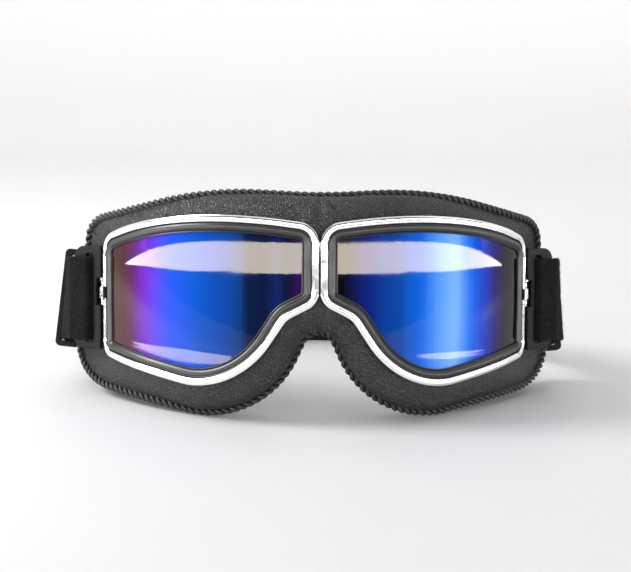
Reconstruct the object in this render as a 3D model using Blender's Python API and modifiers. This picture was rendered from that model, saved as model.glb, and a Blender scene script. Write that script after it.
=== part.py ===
"""Leather-faced motorcycle goggles with two wrapped lenses and an elastic head strap.

The mask is drawn in its own frame, in millimetres: +X across, to the right in a front view,
+Y back towards the face and +Z up, with the origin on the front of the nose bridge.  The
finished assembly stands on its cheeks and on the back of its strap, so the whole mask leans
back a little.  Meshes are written in metres.
"""
import math

import bmesh
import bpy
import numpy as np
from mathutils import Matrix, Vector

MM = 0.001

# ---- Driving dimensions, in millimetres and degrees ----
WRAP_RADIUS = 95.0          # plan radius that the lenses and rims wrap around
WRAP_ANGLE = math.radians(60.0)   # beyond this the wrap runs on straight, at the temples
EDGE_RADIUS = 106.0         # plan radius of the mask's outer edge
EDGE_SETBACK = 12.0         # how far the mask's edge lies behind the front of the rims
MASK_TILT = math.radians(8.0)     # the mask leans back by this where it stands
ARC_STEP = math.radians(20.0)     # longest turn of one facet round a corner
SPACING = 11.0              # longest facet along a straight stretch
PLAY = 0.3                  # gap between pieces that touch
ON_PLANE = 1e-3             # nearer the mirror plane than this counts as on it
WELD = 1e-5                 # points nearer than this, in metres, are one point
SHARP_ANGLE = math.radians(40.0)

# Rim outline on the wrap surface: distance along it, height, corner radius.
# A negative radius is a corner that turns the other way.
RIM_CORNERS = (
    (0.4, 27.4, 8.0),
    (50.2, 34.2, 220.0),
    (103.6, 22.5, 9.0),
    (102.6, -23.8, 7.0),
    (31.4, -36.1, 36.0),
    (12.2, -7.6, -8.0),
    (0.4, -1.6, 7.0),
)
LENS_CENTRE = (52.0, 1.0)   # inside the rim outline, on the wrap surface
RIM_WIDTH = 2.5
RIM_DEPTH = 3.0
RIM_CHAMFER = 0.7
GASKET_INNER = 6.3          # visible lens starts this far inside the rim's outline
GASKET_CROWN = (             # the gasket's front: inset from the rim's outline, and level
    (2.8, -1.2),
    (3.3, -0.6),
    (4.7, -0.5),
    (5.9, -1.2),
)
LENS_EDGE = 4.8
LENS_FRONT = -2.2
LENS_THICKNESS = 2.0
LENS_RINGS = (1.0, 0.66, 0.33)    # sizes of a lens's rings of points, as shares of its own

# Mask edge, right half, seen from the front: across, height, corner radius.
EDGE_CORNERS = (
    (41.6, 41.7, 140.0),
    (90.9, 30.0, 10.0),
    (98.0, -34.8, 18.0),
    (19.7, -49.7, 38.0),
)
EDGE_TOP = (0.0, 39.4, -200.0)
NOSE_ARCH = (0.0, -6.4, -5.3)
EYE_CENTRE = (45.0, 0.0)    # rays across the mask's face fan out from here

LACE_RADIUS = 1.5
LEATHER_INSET = 2 * LACE_RADIUS + 0.8     # leather stops this far inside the edge outline
LEATHER_FRONT = 3.6         # leather lies this far behind the front of the rim
LEATHER_THICKNESS = 2.3
FRAME_THICKNESS = 2.0
FRAME_OPENING = 5.5         # the carcass reaches this far inside the rim's outline
LEATHER_TUCK = 1.2          # leather reaches this far inside the rim's outline, under it
FOAM_FIRST = 2              # the padding starts at this step along each ray
WIDEST_INSET = 0.7          # a layer starts no further along its ray than this share
FOAM_THICKNESS = 11.0
FOAM_FLARE = 0.35           # how much the padding closes in towards the temples, for each unit back
LINING_THICKNESS = 1.0
RADIAL_STEPS = 4
RAY_SAMPLES = 31            # points that measure a ray's length
CENTRE_SHARES = (0.3, 0.6, 0.8)   # some rays end this far down the roll at the centre line
CENTRE_RAYS = 5             # and this many end between the two rims
OUTLINE_STEP = 2.0          # finer spacing, for measuring along an outline
FULL_ROLL = 8.0             # an edge this far behind the rims is padded to a full round

CLAMP_HEIGHT = 0.3          # the rim is split at this height
CLAMP_GAP = 4.6
LUG_HEIGHT = 3.0
LUG_SPAN = (102.4, 107.4)
LUG_LEVEL = (-1.6, 2.0)
CLAMP_AXIS = (106.0, 0.5)   # along the wrap, and out of it
BARREL_RADIUS = 1.35
SCREW_RADIUS = 0.55
SCREW_HEAD_RADIUS = 1.2
SCREW_HEAD_HEIGHT = 1.0
SCREW_HEAD_CHAMFER = (0.24, 0.4)  # off its top: across, and down
TURNED_STEPS = 14
HOLE_RADIUS = 0.85

BRACKET_FOOT = (85.7, 50.7) # plan point at the front edge of the bracket's outer face
BRACKET_ANGLE = math.radians(32.0)
BRACKET_LENGTH = 11.7
BRACKET_THICKNESS = 1.8
BRACKET_HEIGHT = 40.6
BRACKET_CENTRE_Z = -1.6
BRACKET_CORNER = 4.5
CORNER_STEPS = 5
CUT_MARGIN = 2.0            # how far a corner's cutter reaches past the bracket's outline
CUT_DEPTH = 12.0            # cutters reach this deep through a bracket
FOOT_WEDGE = (               # the foot under the front edge: along the plate, and out of it
    (4.8, -1.8),
    (4.5, -4.4),
    (1.4, -3.4),
    (0.2, -1.8),
)
SLOT_SPAN = (5.3, 8.6)
SLOT_HEIGHT = 34.8
NOTCH_DEPTH = 4.0
NOTCH_HEIGHT = 12.6
NOTCH_RISE = 0.4            # the notch's middle is this far above the clamp's

STRAP_HEIGHT = 33.0
STRAP_THICKNESS = 1.6
STRAP_CENTRE_Z = -2.0
STRAP_X = 97.6              # inner layer of the doubled strap
LAYER_PITCH = 2.0           # from the inner layer to the outer one
STRAP_STRAIGHT_START = 62.7
TAB_END = 93.0
STRAP_END = 98.3
LOOP_START = 100.0
LOOP_DEPTH = 55.0
BACK_START = math.radians(35.0)   # the back of the strap starts here on its curve
STRAP_DROOP = math.radians(9.0)
STRAP_LEAN = math.radians(5.5)
LEAN_SPAN = (58.0, 66.0)    # the strap takes up its lean over this stretch
LEAN_END = 130.0            # and has lost it again by here
STAND_END = 125.0           # the strap stands upright from here back
BAR_CLEARANCE = (1.35, -3.0)      # the strap's middle, in front of the post's face and behind
BAR_BENDS = (10.0, 2.5, 1.1, 1.1, 3.0, 6.0)   # radii of the strap's bends, in order
BAR_OVERHANG = 0.6          # how far past the bracket's end the strap turns
SIDE_STEPS = 8
BACK_STEPS = 22

KEEPER_INNER = (5.6, 36.4)
KEEPER_BAR = 1.7
KEEPER_DEPTH = 3.2
KEEPER_CORNERS = (1.6, 0.6) # radii, outside and inside
KEEPER_Y = {"left": 77.5, "right": 92.0}
KEEPER_LIFT = 1.2

SIDES = {"left": -1, "right": 1}
COLOURS = {
    "chrome": ((0.86, 0.86, 0.87), 0.08, 1.0),
    "gasket_rubber": ((0.03, 0.03, 0.032), 0.38, 0.0),
    "mirror_lens": ((0.04, 0.12, 0.62), 0.05, 0.9),
    "leather": ((0.045, 0.044, 0.042), 0.48, 0.0),
    "lace": ((0.03, 0.029, 0.028), 0.45, 0.0),
    "moulded_plastic": ((0.035, 0.037, 0.038), 0.42, 0.0),
    "foam": ((0.03, 0.03, 0.03), 0.95, 0.0),
    "plush": ((0.02, 0.02, 0.02), 0.98, 0.0),
    "loop_tape": ((0.018, 0.018, 0.018), 0.95, 0.0),
    "elastic": ((0.025, 0.025, 0.026), 0.85, 0.0),
}


# ---- Scene, materials and mesh helpers ----
def clear_scene():
    for old in list(bpy.data.objects):
        bpy.data.objects.remove(old, do_unlink=True)


def new_collection(name):
    made = bpy.data.collections.new(name)
    bpy.context.scene.collection.children.link(made)
    return made


def material(name):
    found = bpy.data.materials.get(name)
    if found:
        return found
    colour, roughness, metallic = COLOURS[name]
    made = bpy.data.materials.new(name)
    made.use_nodes = True
    shader = made.node_tree.nodes["Principled BSDF"]
    shader.inputs["Base Color"].default_value = (*colour, 1.0)
    shader.inputs["Roughness"].default_value = roughness
    shader.inputs["Metallic"].default_value = metallic
    return made


def add_object(name, data, slot=None, where=None):
    made = bpy.data.objects.new(name, data)
    (where or PARTS).objects.link(made)
    made.parent = MASK
    if slot:
        data.materials.append(material(slot))
    return made


def add_mesh(name, points, faces, slot, side=1):
    """A mesh from points in millimetres; side -1 makes the mirror image."""
    mesh = bpy.data.meshes.new(name)
    scaled = [(p[0] * side * MM, p[1] * MM, p[2] * MM) for p in points]
    ordered = faces if side > 0 else [tuple(reversed(f)) for f in faces]
    mesh.from_pydata(scaled, [], ordered)
    tidy = bmesh.new()
    tidy.from_mesh(mesh)
    loose = [v for v in tidy.verts if not v.link_faces]
    bmesh.ops.delete(tidy, geom=loose, context="VERTS")
    tidy.to_mesh(mesh)
    tidy.free()
    mesh.shade_smooth()
    mesh.set_sharp_from_angle(angle=SHARP_ANGLE)
    return add_object(name, mesh, slot)


def mesh_from_curve(name, curve, slot):
    """Turn a curve object into a closed mesh object in the same place."""
    bpy.context.view_layer.update()
    source = curve.evaluated_get(bpy.context.evaluated_depsgraph_get())
    mesh = bpy.data.meshes.new_from_object(source)
    welded = bmesh.new()
    welded.from_mesh(mesh)
    bmesh.ops.remove_doubles(welded, verts=welded.verts, dist=WELD)
    welded.to_mesh(mesh)
    welded.free()
    mesh.name = name
    mesh.materials.clear()
    mesh.shade_smooth()
    mesh.set_sharp_from_angle(angle=SHARP_ANGLE)
    made = add_object(name, mesh, slot)
    made.matrix_basis = curve.matrix_basis
    bpy.data.objects.remove(curve, do_unlink=True)


def box_tool(name, size, matrix):
    """A box for a Boolean, with size and matrix in millimetres."""
    tool = bmesh.new()
    bmesh.ops.create_cube(tool, size=1.0)
    return place_tool(name, tool, matrix @ Matrix.Diagonal((*size, 1.0)))


def rod_tool(name, radius, length, matrix, segments=16):
    tool = bmesh.new()
    bmesh.ops.create_cone(
        tool, cap_ends=True, segments=segments, radius1=radius, radius2=radius, depth=length
    )
    return place_tool(name, tool, matrix)


def place_tool(name, tool, matrix):
    """Make a tool of a bmesh; a mirroring matrix also turns its faces round."""
    bmesh.ops.transform(tool, matrix=matrix, verts=tool.verts)
    bmesh.ops.scale(tool, vec=(MM, MM, MM), verts=tool.verts)
    if matrix.determinant() < 0:
        bmesh.ops.reverse_faces(tool, faces=tool.faces)
    mesh = bpy.data.meshes.new(name)
    tool.to_mesh(mesh)
    tool.free()
    return hide_tool(add_object(name, mesh, where=TOOLS))


def hide_tool(tool):
    tool.hide_render = True
    tool.display_type = "WIRE"
    return tool


def boolean(target, tool, operation):
    step = target.modifiers.new(tool.name, "BOOLEAN")
    step.operation = operation
    step.object = tool


# ---- Curves in a plane ----
def rounded_path(corners, closed=True, spacing=SPACING, arc_step=ARC_STEP):
    """Points and right-hand normals along straight runs with rounded corners.

    corners are (a, b, radius).  The ends of an open path keep their corner points.
    Every arc has an even number of facets, so a corner on a mirror line has a point there.
    """
    spots = [Vector(c[:2]) for c in corners]
    count = len(spots)
    pieces = []
    for i, (corner, radius) in enumerate(zip(spots, (abs(c[2]) for c in corners))):
        if not closed and i in (0, count - 1):
            pieces.append([corner])
            continue
        arriving = (corner - spots[i - 1]).normalized()
        leaving = (spots[(i + 1) % count] - corner).normalized()
        turn = arriving.angle_signed(leaving)
        reach = radius * math.tan(abs(turn) / 2)
        start = corner - arriving * reach
        handed = -math.copysign(1.0, turn)
        centre = start + Vector((-arriving.y, arriving.x)) * radius * handed
        finest = max(abs(turn) / arc_step, radius * abs(turn) / spacing)
        facets = 2 * max(1, math.ceil(finest / 2))
        arc = []
        for k in range(facets + 1):
            swing = Matrix.Rotation(handed * abs(turn) * k / facets, 2)
            arc.append(centre + swing @ (start - centre))
        pieces.append(arc)
    points = []
    for i, piece in enumerate(pieces):
        points += piece
        if i == count - 1 and not closed:
            break
        goal = pieces[(i + 1) % count][0]
        gap = (goal - piece[-1]).length
        steps = max(1, math.ceil(gap / spacing))
        points += [piece[-1].lerp(goal, k / steps) for k in range(1, steps)]
    path = np.array([tuple(p) for p in points])
    ahead = np.roll(path, -1, axis=0)
    behind = np.roll(path, 1, axis=0)
    if not closed:
        ahead[-1] = path[-1]
        behind[0] = path[0]
    along = ahead - behind
    along /= np.linalg.norm(along, axis=1)[:, None]
    normals = np.stack([along[:, 1], -along[:, 0]], axis=1)
    return path, normals


def smooth_step(value, low, high):
    t = min(max((value - low) / (high - low), 0.0), 1.0)
    return t * t * (3 - 2 * t)


def wrap(s, z, h=0.0):
    """The point s along the wrap surface from the nose, z up and h out of the surface."""
    reach = WRAP_RADIUS * WRAP_ANGLE
    angle = min(abs(s), reach) / WRAP_RADIUS
    past = max(abs(s) - reach, 0.0)
    x = (WRAP_RADIUS + h) * math.sin(angle) + past * math.cos(angle)
    y = WRAP_RADIUS - (WRAP_RADIUS + h) * math.cos(angle) + past * math.sin(angle)
    return np.array([math.copysign(x, s), y, z])


def wrap_level(point):
    """How far a point lies out of the wrap surface, and the surface's normal there."""
    angle = min(math.atan2(point[0], WRAP_RADIUS - point[1]), WRAP_ANGLE)
    out = np.array([math.sin(angle), -math.cos(angle), 0.0])
    axis = np.array([0.0, WRAP_RADIUS, point[2]])
    return float(out @ (point - axis)) - WRAP_RADIUS, out


def temple_matrix(s, z, h):
    """A frame on the straight end of the wrap: X along it, Y inwards, Z up."""
    return Matrix.Translation(Vector(wrap(s, z, h))) @ Matrix.Rotation(WRAP_ANGLE, 4, "Z")


def edge_y(x):
    """Depth of the mask's outer edge at a distance across."""
    return EDGE_SETBACK + EDGE_RADIUS - math.sqrt(EDGE_RADIUS**2 - x * x)


def edge_outline(spacing=SPACING):
    """The whole outline of the mask from the front, clockwise, with outward normals."""
    left = [(-x, z, r) for x, z, r in reversed(EDGE_CORNERS)]
    corners = [EDGE_TOP, *EDGE_CORNERS, NOSE_ARCH, *left]
    path, normals = rounded_path(corners, spacing=spacing)
    return path, -normals


def rim_outline(spacing=SPACING):
    path, normals = rounded_path(RIM_CORNERS, spacing=spacing)
    return path, -normals


# ---- Rings that follow a rim ----
def ring(name, section, slot, side):
    """Sweep a closed section of (inset, height) points round the rim outline."""
    path, normals = rim_outline()
    points = []
    for (s, z), (across, up) in zip(path, normals):
        points += [wrap(s - d * across, z - d * up, h) for d, h in section]
    size = len(section)
    faces = []
    for i in range(len(path)):
        here, there = i * size, ((i + 1) % len(path)) * size
        for j in range(size):
            k = (j + 1) % size
            faces.append((here + j, here + k, there + k, there + j))
    return add_mesh(name, points, faces, slot, side)


def rim(name, side):
    section = (
        (0.0, -RIM_DEPTH),
        (0.0, -RIM_CHAMFER),
        (RIM_CHAMFER, 0.0),
        (RIM_WIDTH - RIM_CHAMFER, 0.0),
        (RIM_WIDTH, -RIM_CHAMFER),
        (RIM_WIDTH, -RIM_DEPTH),
    )
    made = ring(name, section, "chrome", side)
    mirror = Matrix.Diagonal((side, 1.0, 1.0, 1.0))
    middle = sum(LUG_SPAN) / 2
    level = sum(LUG_LEVEL) / 2
    long, deep = LUG_SPAN[1] - LUG_SPAN[0], LUG_LEVEL[1] - LUG_LEVEL[0]
    cut = mirror @ temple_matrix(middle, CLAMP_HEIGHT, 0.0)
    boolean(made, box_tool(f"{name}_gap", (2.5 * long, 4 * deep, CLAMP_GAP), cut), "DIFFERENCE")
    for label, sign in (("upper", 1), ("lower", -1)):
        z = CLAMP_HEIGHT + sign * (CLAMP_GAP + LUG_HEIGHT) / 2
        place = mirror @ temple_matrix(middle, z, level)
        boolean(made, box_tool(f"{name}_{label}_lug", (long, deep, LUG_HEIGHT), place), "UNION")
    hole = mirror @ temple_matrix(CLAMP_AXIS[0], CLAMP_HEIGHT, CLAMP_AXIS[1])
    boolean(made, rod_tool(f"{name}_hole", HOLE_RADIUS, 6 * LUG_HEIGHT, hole), "DIFFERENCE")


def gasket(name, side):
    groove_top = LENS_FRONT + PLAY
    groove_bottom = LENS_FRONT - LENS_THICKNESS - PLAY
    back = -LEATHER_FRONT - LEATHER_THICKNESS
    section = (
        (GASKET_CROWN[0][0], back),
        *GASKET_CROWN,
        (GASKET_INNER, groove_top),
        (LENS_EDGE - PLAY, groove_top),
        (LENS_EDGE - PLAY, groove_bottom),
        (GASKET_INNER, groove_bottom),
        (GASKET_INNER, back),
    )
    ring(name, section, "gasket_rubber", side)


def lens(name, side):
    """A curved plate inside the gasket's groove."""
    path, normals = rim_outline()
    count = len(path)
    points = []
    for level in (LENS_FRONT, LENS_FRONT - LENS_THICKNESS):
        for share in LENS_RINGS:
            for (s, z), (across, up) in zip(path, normals):
                edge = (s - LENS_EDGE * across, z - LENS_EDGE * up)
                spot = [c + share * (e - c) for c, e in zip(LENS_CENTRE, edge)]
                points.append(wrap(*spot, level))
        points.append(wrap(*LENS_CENTRE, level))
    layer = count * len(LENS_RINGS) + 1
    faces = []
    for i in range(count):
        k = (i + 1) % count
        for r in range(len(LENS_RINGS) - 1):
            a, b = r * count, (r + 1) * count
            faces.append((a + k, a + i, b + i, b + k))
            faces.append((layer + a + i, layer + a + k, layer + b + k, layer + b + i))
        last = (len(LENS_RINGS) - 1) * count
        faces.append((last + k, last + i, layer - 1))
        faces.append((layer + last + i, layer + last + k, 2 * layer - 1))
        faces.append((i, k, layer + k, layer + i))
    add_mesh(name, points, faces, "mirror_lens", side)


# ---- Layers of the mask ----
def bearing_of(point):
    return math.atan2(point[2] - EYE_CENTRE[1], point[0] - EYE_CENTRE[0])


def rim_crossing(inset):
    """A function from a bearing to the point there on the rim's outline, moved inwards."""
    path, outward = rim_outline(OUTLINE_STEP)
    line = np.array([wrap(s, z, -LEATHER_FRONT) for s, z in path - inset * outward])
    bearings = np.array([bearing_of(p) for p in line])
    order = np.argsort(bearings)
    line, bearings = line[order], bearings[order]

    def crossing(bearing):
        turn = 2 * math.pi
        return np.array([np.interp(bearing, bearings, line[:, i], period=turn) for i in range(3)])

    return crossing


def mask_surface():
    """Rays on the front of the leather, right half: start, control point and end of each.

    A ray runs from the edge of the carcass opening out to the mask's edge, or to the centre
    line between the two rims.  Rays whose end has x = 0 end on the centre line.
    """
    edge, edge_out = edge_outline()
    opening = rim_crossing(FRAME_OPENING)

    def start_of_ray(end):
        return opening(bearing_of(end))

    rays = []
    for (x, z), (across, up) in zip(edge, edge_out):
        if x < -ON_PLANE:
            continue
        x, across = (0.0, 0.0) if x < ON_PLANE else (x, across)
        end_x, end_z = x - LEATHER_INSET * across, z - LEATHER_INSET * up
        end = np.array([end_x, edge_y(end_x), end_z])
        start = start_of_ray(end)
        depth = -LEATHER_FRONT - wrap_level(end)[0]
        along = 0.5 + 0.5 * min(max(depth / FULL_ROLL, 0.0), 1.0)
        bend = start + along * (end - start)
        level, out = wrap_level(bend)
        rays.append((start, bend - (LEATHER_FRONT + level) * out, end))
    crown, arch = rays[0], rays[-1]
    if crown[2][2] < arch[2][2]:
        crown, arch = arch, crown
        rays.reverse()

    def down_the_roll(ray, height, share):
        """A ray that ends part way down the roll at the centre line."""
        foot = np.array([0.0, LEATHER_FRONT, height])
        end = along_ray((foot, ray[1], ray[2]), np.array([share]))[0]
        start = start_of_ray(end)
        middle = (start + end) / 2
        return start, middle + share * (ray[1] - middle), end

    top, bottom = RIM_CORNERS[0][1], RIM_CORNERS[-1][1]
    rays += [down_the_roll(arch, bottom, share) for share in reversed(CENTRE_SHARES)]
    for height in np.linspace(bottom, top, CENTRE_RAYS):
        end = np.array([0.0, LEATHER_FRONT, height])
        start = start_of_ray(end)
        rays.append((start, (start + end) / 2, end))
    rays += [down_the_roll(crown, top, share) for share in CENTRE_SHARES]
    return rays


def along_ray(ray, shares):
    """Points of a ray's quadratic curve at shares from 0, its start, to 1, its end."""
    start, bend, end = ray
    t = shares[:, None]
    return (1 - t) ** 2 * start + 2 * t * (1 - t) * bend + t**2 * end


def layer_grid(rays, rim_inset):
    """Points along every ray, from inside the rim's outline out to the end, with normals."""
    opening = rim_crossing(rim_inset)
    rows = []
    for ray in rays:
        shares = np.linspace(0.0, 1.0, RAY_SAMPLES)
        travel = np.linalg.norm(along_ray(ray, shares) - ray[0], axis=1)
        skipped = np.linalg.norm(opening(bearing_of(ray[2])) - ray[0])
        first = min(np.interp(skipped, travel, shares), WIDEST_INSET)
        rows.append(along_ray(ray, np.linspace(first, 1.0, RADIAL_STEPS + 1)))
    grid = np.array(rows)
    along = np.gradient(grid, axis=1)
    around = np.roll(grid, -1, axis=0) - np.roll(grid, 1, axis=0)
    normal = np.cross(around, along)
    normal[np.abs(grid[:, :, 0]) < ON_PLANE, 0] = 0.0
    normal /= np.linalg.norm(normal, axis=2)[:, :, None]
    if normal[:, 0, 1].mean() > 0:
        normal = -normal
    return grid, normal


def half_shell(name, loops, slot):
    """Skin a closed row of closed loops, open on the mirror plane, and mirror it.

    Each quad is split along its shorter diagonal, so that stacked layers have the same facets.
    """
    size = len(loops[0])
    points = [p for loop in loops for p in loop]
    faces = []
    for i in range(len(loops)):
        here, there = i * size, ((i + 1) % len(loops)) * size
        for j in range(size):
            k = (j + 1) % size
            quad = (here + j, there + j, there + k, here + k)
            if all(abs(points[v][0]) < ON_PLANE for v in quad):
                continue
            a, b, c, d = (points[v] for v in quad)
            if np.linalg.norm(a - c) <= np.linalg.norm(b - d):
                faces += [(quad[0], quad[1], quad[2]), (quad[0], quad[2], quad[3])]
            else:
                faces += [(quad[1], quad[2], quad[3]), (quad[1], quad[3], quad[0])]
    made = add_mesh(name, points, faces, slot)
    mirror = made.modifiers.new("other_half", "MIRROR")
    mirror.merge_threshold = 5 * WELD
    return made


def plate_layer(name, rays, top, thickness, rim_inset, slot):
    """A plate that follows the leather's face, between two depths below it."""
    grid, normal = layer_grid(rays, rim_inset)
    front = grid - top * normal
    back = grid - (top + thickness) * normal
    loops = [list(f) + list(b[::-1]) for f, b in zip(front, back)]
    return half_shell(name, loops, slot)


def backward(point):
    """The direction in which the padding stands off the carcass at a point."""
    away = np.array([-FOAM_FLARE * point[0] / EDGE_CORNERS[2][0], 1.0, 0.0])
    return away / np.linalg.norm(away)


def foam_loops(rays, near, far):
    """Closed loops between two distances behind the carcass.

    There is one for each ray, except those that end part way down the roll at the centre line.
    """
    level = LEATHER_THICKNESS + FRAME_THICKNESS + 3 * PLAY
    grid, normal = layer_grid(rays, FRAME_OPENING)
    loops = []
    for row, out in zip(grid[:, FOAM_FIRST:], normal[:, FOAM_FIRST:]):
        if LEATHER_FRONT + ON_PLANE < row[-1][1] < EDGE_SETBACK - ON_PLANE:
            continue
        seat = row - level * out
        first, edge = seat[0], seat[-1]
        front = [first + near * backward(first), edge + near * backward(edge)]
        back = [edge + far * backward(edge), first + far * backward(first)]
        loops.append([*(front if near > 0 else seat), *back])
    return loops


def mask_layers():
    rays = mask_surface()
    plate_layer("leather_cover", rays, 0.0, LEATHER_THICKNESS, LEATHER_TUCK, "leather")
    frame_top = LEATHER_THICKNESS + PLAY
    plate_layer("mask_frame", rays, frame_top, FRAME_THICKNESS, FRAME_OPENING, "moulded_plastic")
    half_shell("face_foam", foam_loops(rays, 0.0, FOAM_THICKNESS), "foam")
    near = FOAM_THICKNESS + 4 * PLAY
    half_shell("face_lining", foam_loops(rays, near, near + LINING_THICKNESS), "plush")


def lace_points(spacing):
    path, outward = edge_outline(spacing)
    spots = []
    for (x, z), (across, up) in zip(path, outward):
        x, z = x - LACE_RADIUS * across, z - LACE_RADIUS * up
        spots.append((x, edge_y(x), z))
    return spots


def edge_lacing():
    curve = bpy.data.curves.new("edge_lacing", "CURVE")
    curve.dimensions = "3D"
    curve.bevel_depth = LACE_RADIUS * MM
    curve.bevel_resolution = 1
    spots = lace_points(SPACING)
    line = curve.splines.new("POLY")
    line.points.add(len(spots) - 1)
    for knot, spot in zip(line.points, spots):
        knot.co = (*(c * MM for c in spot), 1.0)
    line.use_cyclic_u = True
    add_object("edge_lacing", curve, "lace")


# ---- Rim clamps ----
def clamp(label, side):
    """A barrel held between the rim's lugs by a long screw."""
    s, h = CLAMP_AXIS
    foot = wrap(s, CLAMP_HEIGHT, h)
    half = CLAMP_GAP / 2 - PLAY
    bore = SCREW_RADIUS + PLAY
    barrel = ((bore, half), (BARREL_RADIUS, half), (BARREL_RADIUS, -half), (bore, -half))
    turned(f"{label}_clamp_barrel", barrel, foot, side, closed=True)
    top = CLAMP_GAP / 2 + LUG_HEIGHT + PLAY
    screw = (
        (0.0, top + SCREW_HEAD_HEIGHT),
        (SCREW_HEAD_RADIUS - SCREW_HEAD_CHAMFER[0], top + SCREW_HEAD_HEIGHT),
        (SCREW_HEAD_RADIUS, top + SCREW_HEAD_HEIGHT - SCREW_HEAD_CHAMFER[1]),
        (SCREW_HEAD_RADIUS, top),
        (SCREW_RADIUS, top),
        (SCREW_RADIUS, -top),
        (0.0, -top),
    )
    turned(f"{label}_clamp_screw", screw, foot, side, closed=False)


def turned(name, profile, foot, side, closed):
    mesh = bpy.data.meshes.new(name)
    count = len(profile)
    edges = [(i, i + 1) for i in range(count - 1)]
    if closed:
        edges.append((count - 1, 0))
    mesh.from_pydata([(r * MM, 0.0, z * MM) for r, z in profile], edges, [])
    made = add_object(name, mesh, "chrome")
    made.location = (foot[0] * side * MM, foot[1] * MM, foot[2] * MM)
    spin = made.modifiers.new("turn", "SCREW")
    spin.steps = TURNED_STEPS
    spin.render_steps = TURNED_STEPS
    spin.use_merge_vertices = True
    spin.merge_threshold = WELD
    spin.use_smooth_shade = True


# ---- Temple brackets ----
def bracket_point(along, out):
    """Plan point of the bracket: along its outer face, and out of that face."""
    x = BRACKET_FOOT[0] + along * math.cos(BRACKET_ANGLE) + out * math.sin(BRACKET_ANGLE)
    y = BRACKET_FOOT[1] + along * math.sin(BRACKET_ANGLE) - out * math.cos(BRACKET_ANGLE)
    return x, y


def bracket_matrix(along, z, side):
    """A frame on the bracket's outer face: X along it, Y inwards, Z up."""
    x, y = bracket_point(along, 0.0)
    place = Matrix.Translation((x, y, z)) @ Matrix.Rotation(BRACKET_ANGLE, 4, "Z")
    return Matrix.Diagonal((side, 1.0, 1.0, 1.0)) @ place


def temple_bracket(name, side):
    """A plate with a wedge foot under its front edge and a window for the strap."""
    end = ((0.0, 0.0), (BRACKET_LENGTH, 0.0), (BRACKET_LENGTH, -BRACKET_THICKNESS))
    plan = (*end, *FOOT_WEDGE)
    half = BRACKET_HEIGHT / 2
    count = len(plan)
    points = [(*bracket_point(*p), BRACKET_CENTRE_Z + z) for z in (-half, half) for p in plan]
    faces = [tuple(range(count)), tuple(range(2 * count - 1, count - 1, -1))]
    for i in range(count):
        k = (i + 1) % count
        faces.append((k, i, count + i, count + k))
    made = add_mesh(name, points, faces, "moulded_plastic", side)
    middle = sum(SLOT_SPAN) / 2
    slot = bracket_matrix(middle, BRACKET_CENTRE_Z, side)
    size = (SLOT_SPAN[1] - SLOT_SPAN[0], CUT_DEPTH, SLOT_HEIGHT)
    boolean(made, box_tool(f"{name}_slot", size, slot), "DIFFERENCE")
    notch = bracket_matrix(0.0, CLAMP_HEIGHT + NOTCH_RISE, side)
    size = (2 * NOTCH_DEPTH, CUT_DEPTH, NOTCH_HEIGHT)
    boolean(made, box_tool(f"{name}_notch", size, notch), "DIFFERENCE")
    for label, sign in (("upper", 1), ("lower", -1)):
        z = BRACKET_CENTRE_Z + sign * half
        boolean(made, corner_tool(f"{name}_{label}_corner", z, sign, side), "DIFFERENCE")


def corner_tool(name, z, sign, side):
    """What is cut away to round one outer corner of a bracket."""
    straight = BRACKET_LENGTH - BRACKET_CORNER
    past = BRACKET_LENGTH + CUT_MARGIN
    outline = [(past, CUT_MARGIN * sign), (straight, CUT_MARGIN * sign)]
    for angle in np.linspace(0.0, math.pi / 2, CORNER_STEPS + 1):
        along = straight + BRACKET_CORNER * math.sin(angle)
        outline.append((along, -sign * BRACKET_CORNER * (1 - math.cos(angle))))
    outline.append((past, -sign * BRACKET_CORNER))
    count = len(outline)
    depths = (CUT_DEPTH / 4, -CUT_DEPTH / 2)
    points = [(*bracket_point(a, out), z + up) for out in depths for a, up in outline]
    faces = [tuple(range(count)), tuple(range(2 * count - 1, count - 1, -1))]
    faces += [((i + 1) % count, i, count + i, count + (i + 1) % count) for i in range(count)]
    if sign < 0:
        faces = [tuple(reversed(f)) for f in faces]
    tool = add_mesh(name, points, faces, "moulded_plastic", side)
    PARTS.objects.unlink(tool)
    TOOLS.objects.link(tool)
    return hide_tool(tool)


# ---- Head strap and keepers ----
def floor_height():
    """How far below the mask's origin it rests, in world millimetres."""
    low = min(z * math.cos(MASK_TILT) - y * math.sin(MASK_TILT) for _, y, z in lace_points(OUTLINE_STEP))
    return low - LACE_RADIUS


def strap_rise(y):
    """Height of the strap's middle, in the mask's frame, at a depth."""
    drooping = STRAP_CENTRE_Z - math.tan(STRAP_DROOP) * max(y - STRAP_STRAIGHT_START, 0.0)
    resting = (floor_height() + y * math.sin(MASK_TILT)) / math.cos(MASK_TILT)
    return max(drooping, resting + STRAP_HEIGHT / 2)


def strap_up(y, side):
    """The strap's upward direction at a depth: it leans out below, and stands at the back."""
    lean = STRAP_LEAN * smooth_step(y, *LEAN_SPAN) * (1 - smooth_step(y, STRAP_END, LEAN_END))
    stand = MASK_TILT * smooth_step(y, STRAP_END, STAND_END)
    return Vector((-math.sin(lean) * side, -math.sin(stand), math.cos(lean) * math.cos(stand)))


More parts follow.
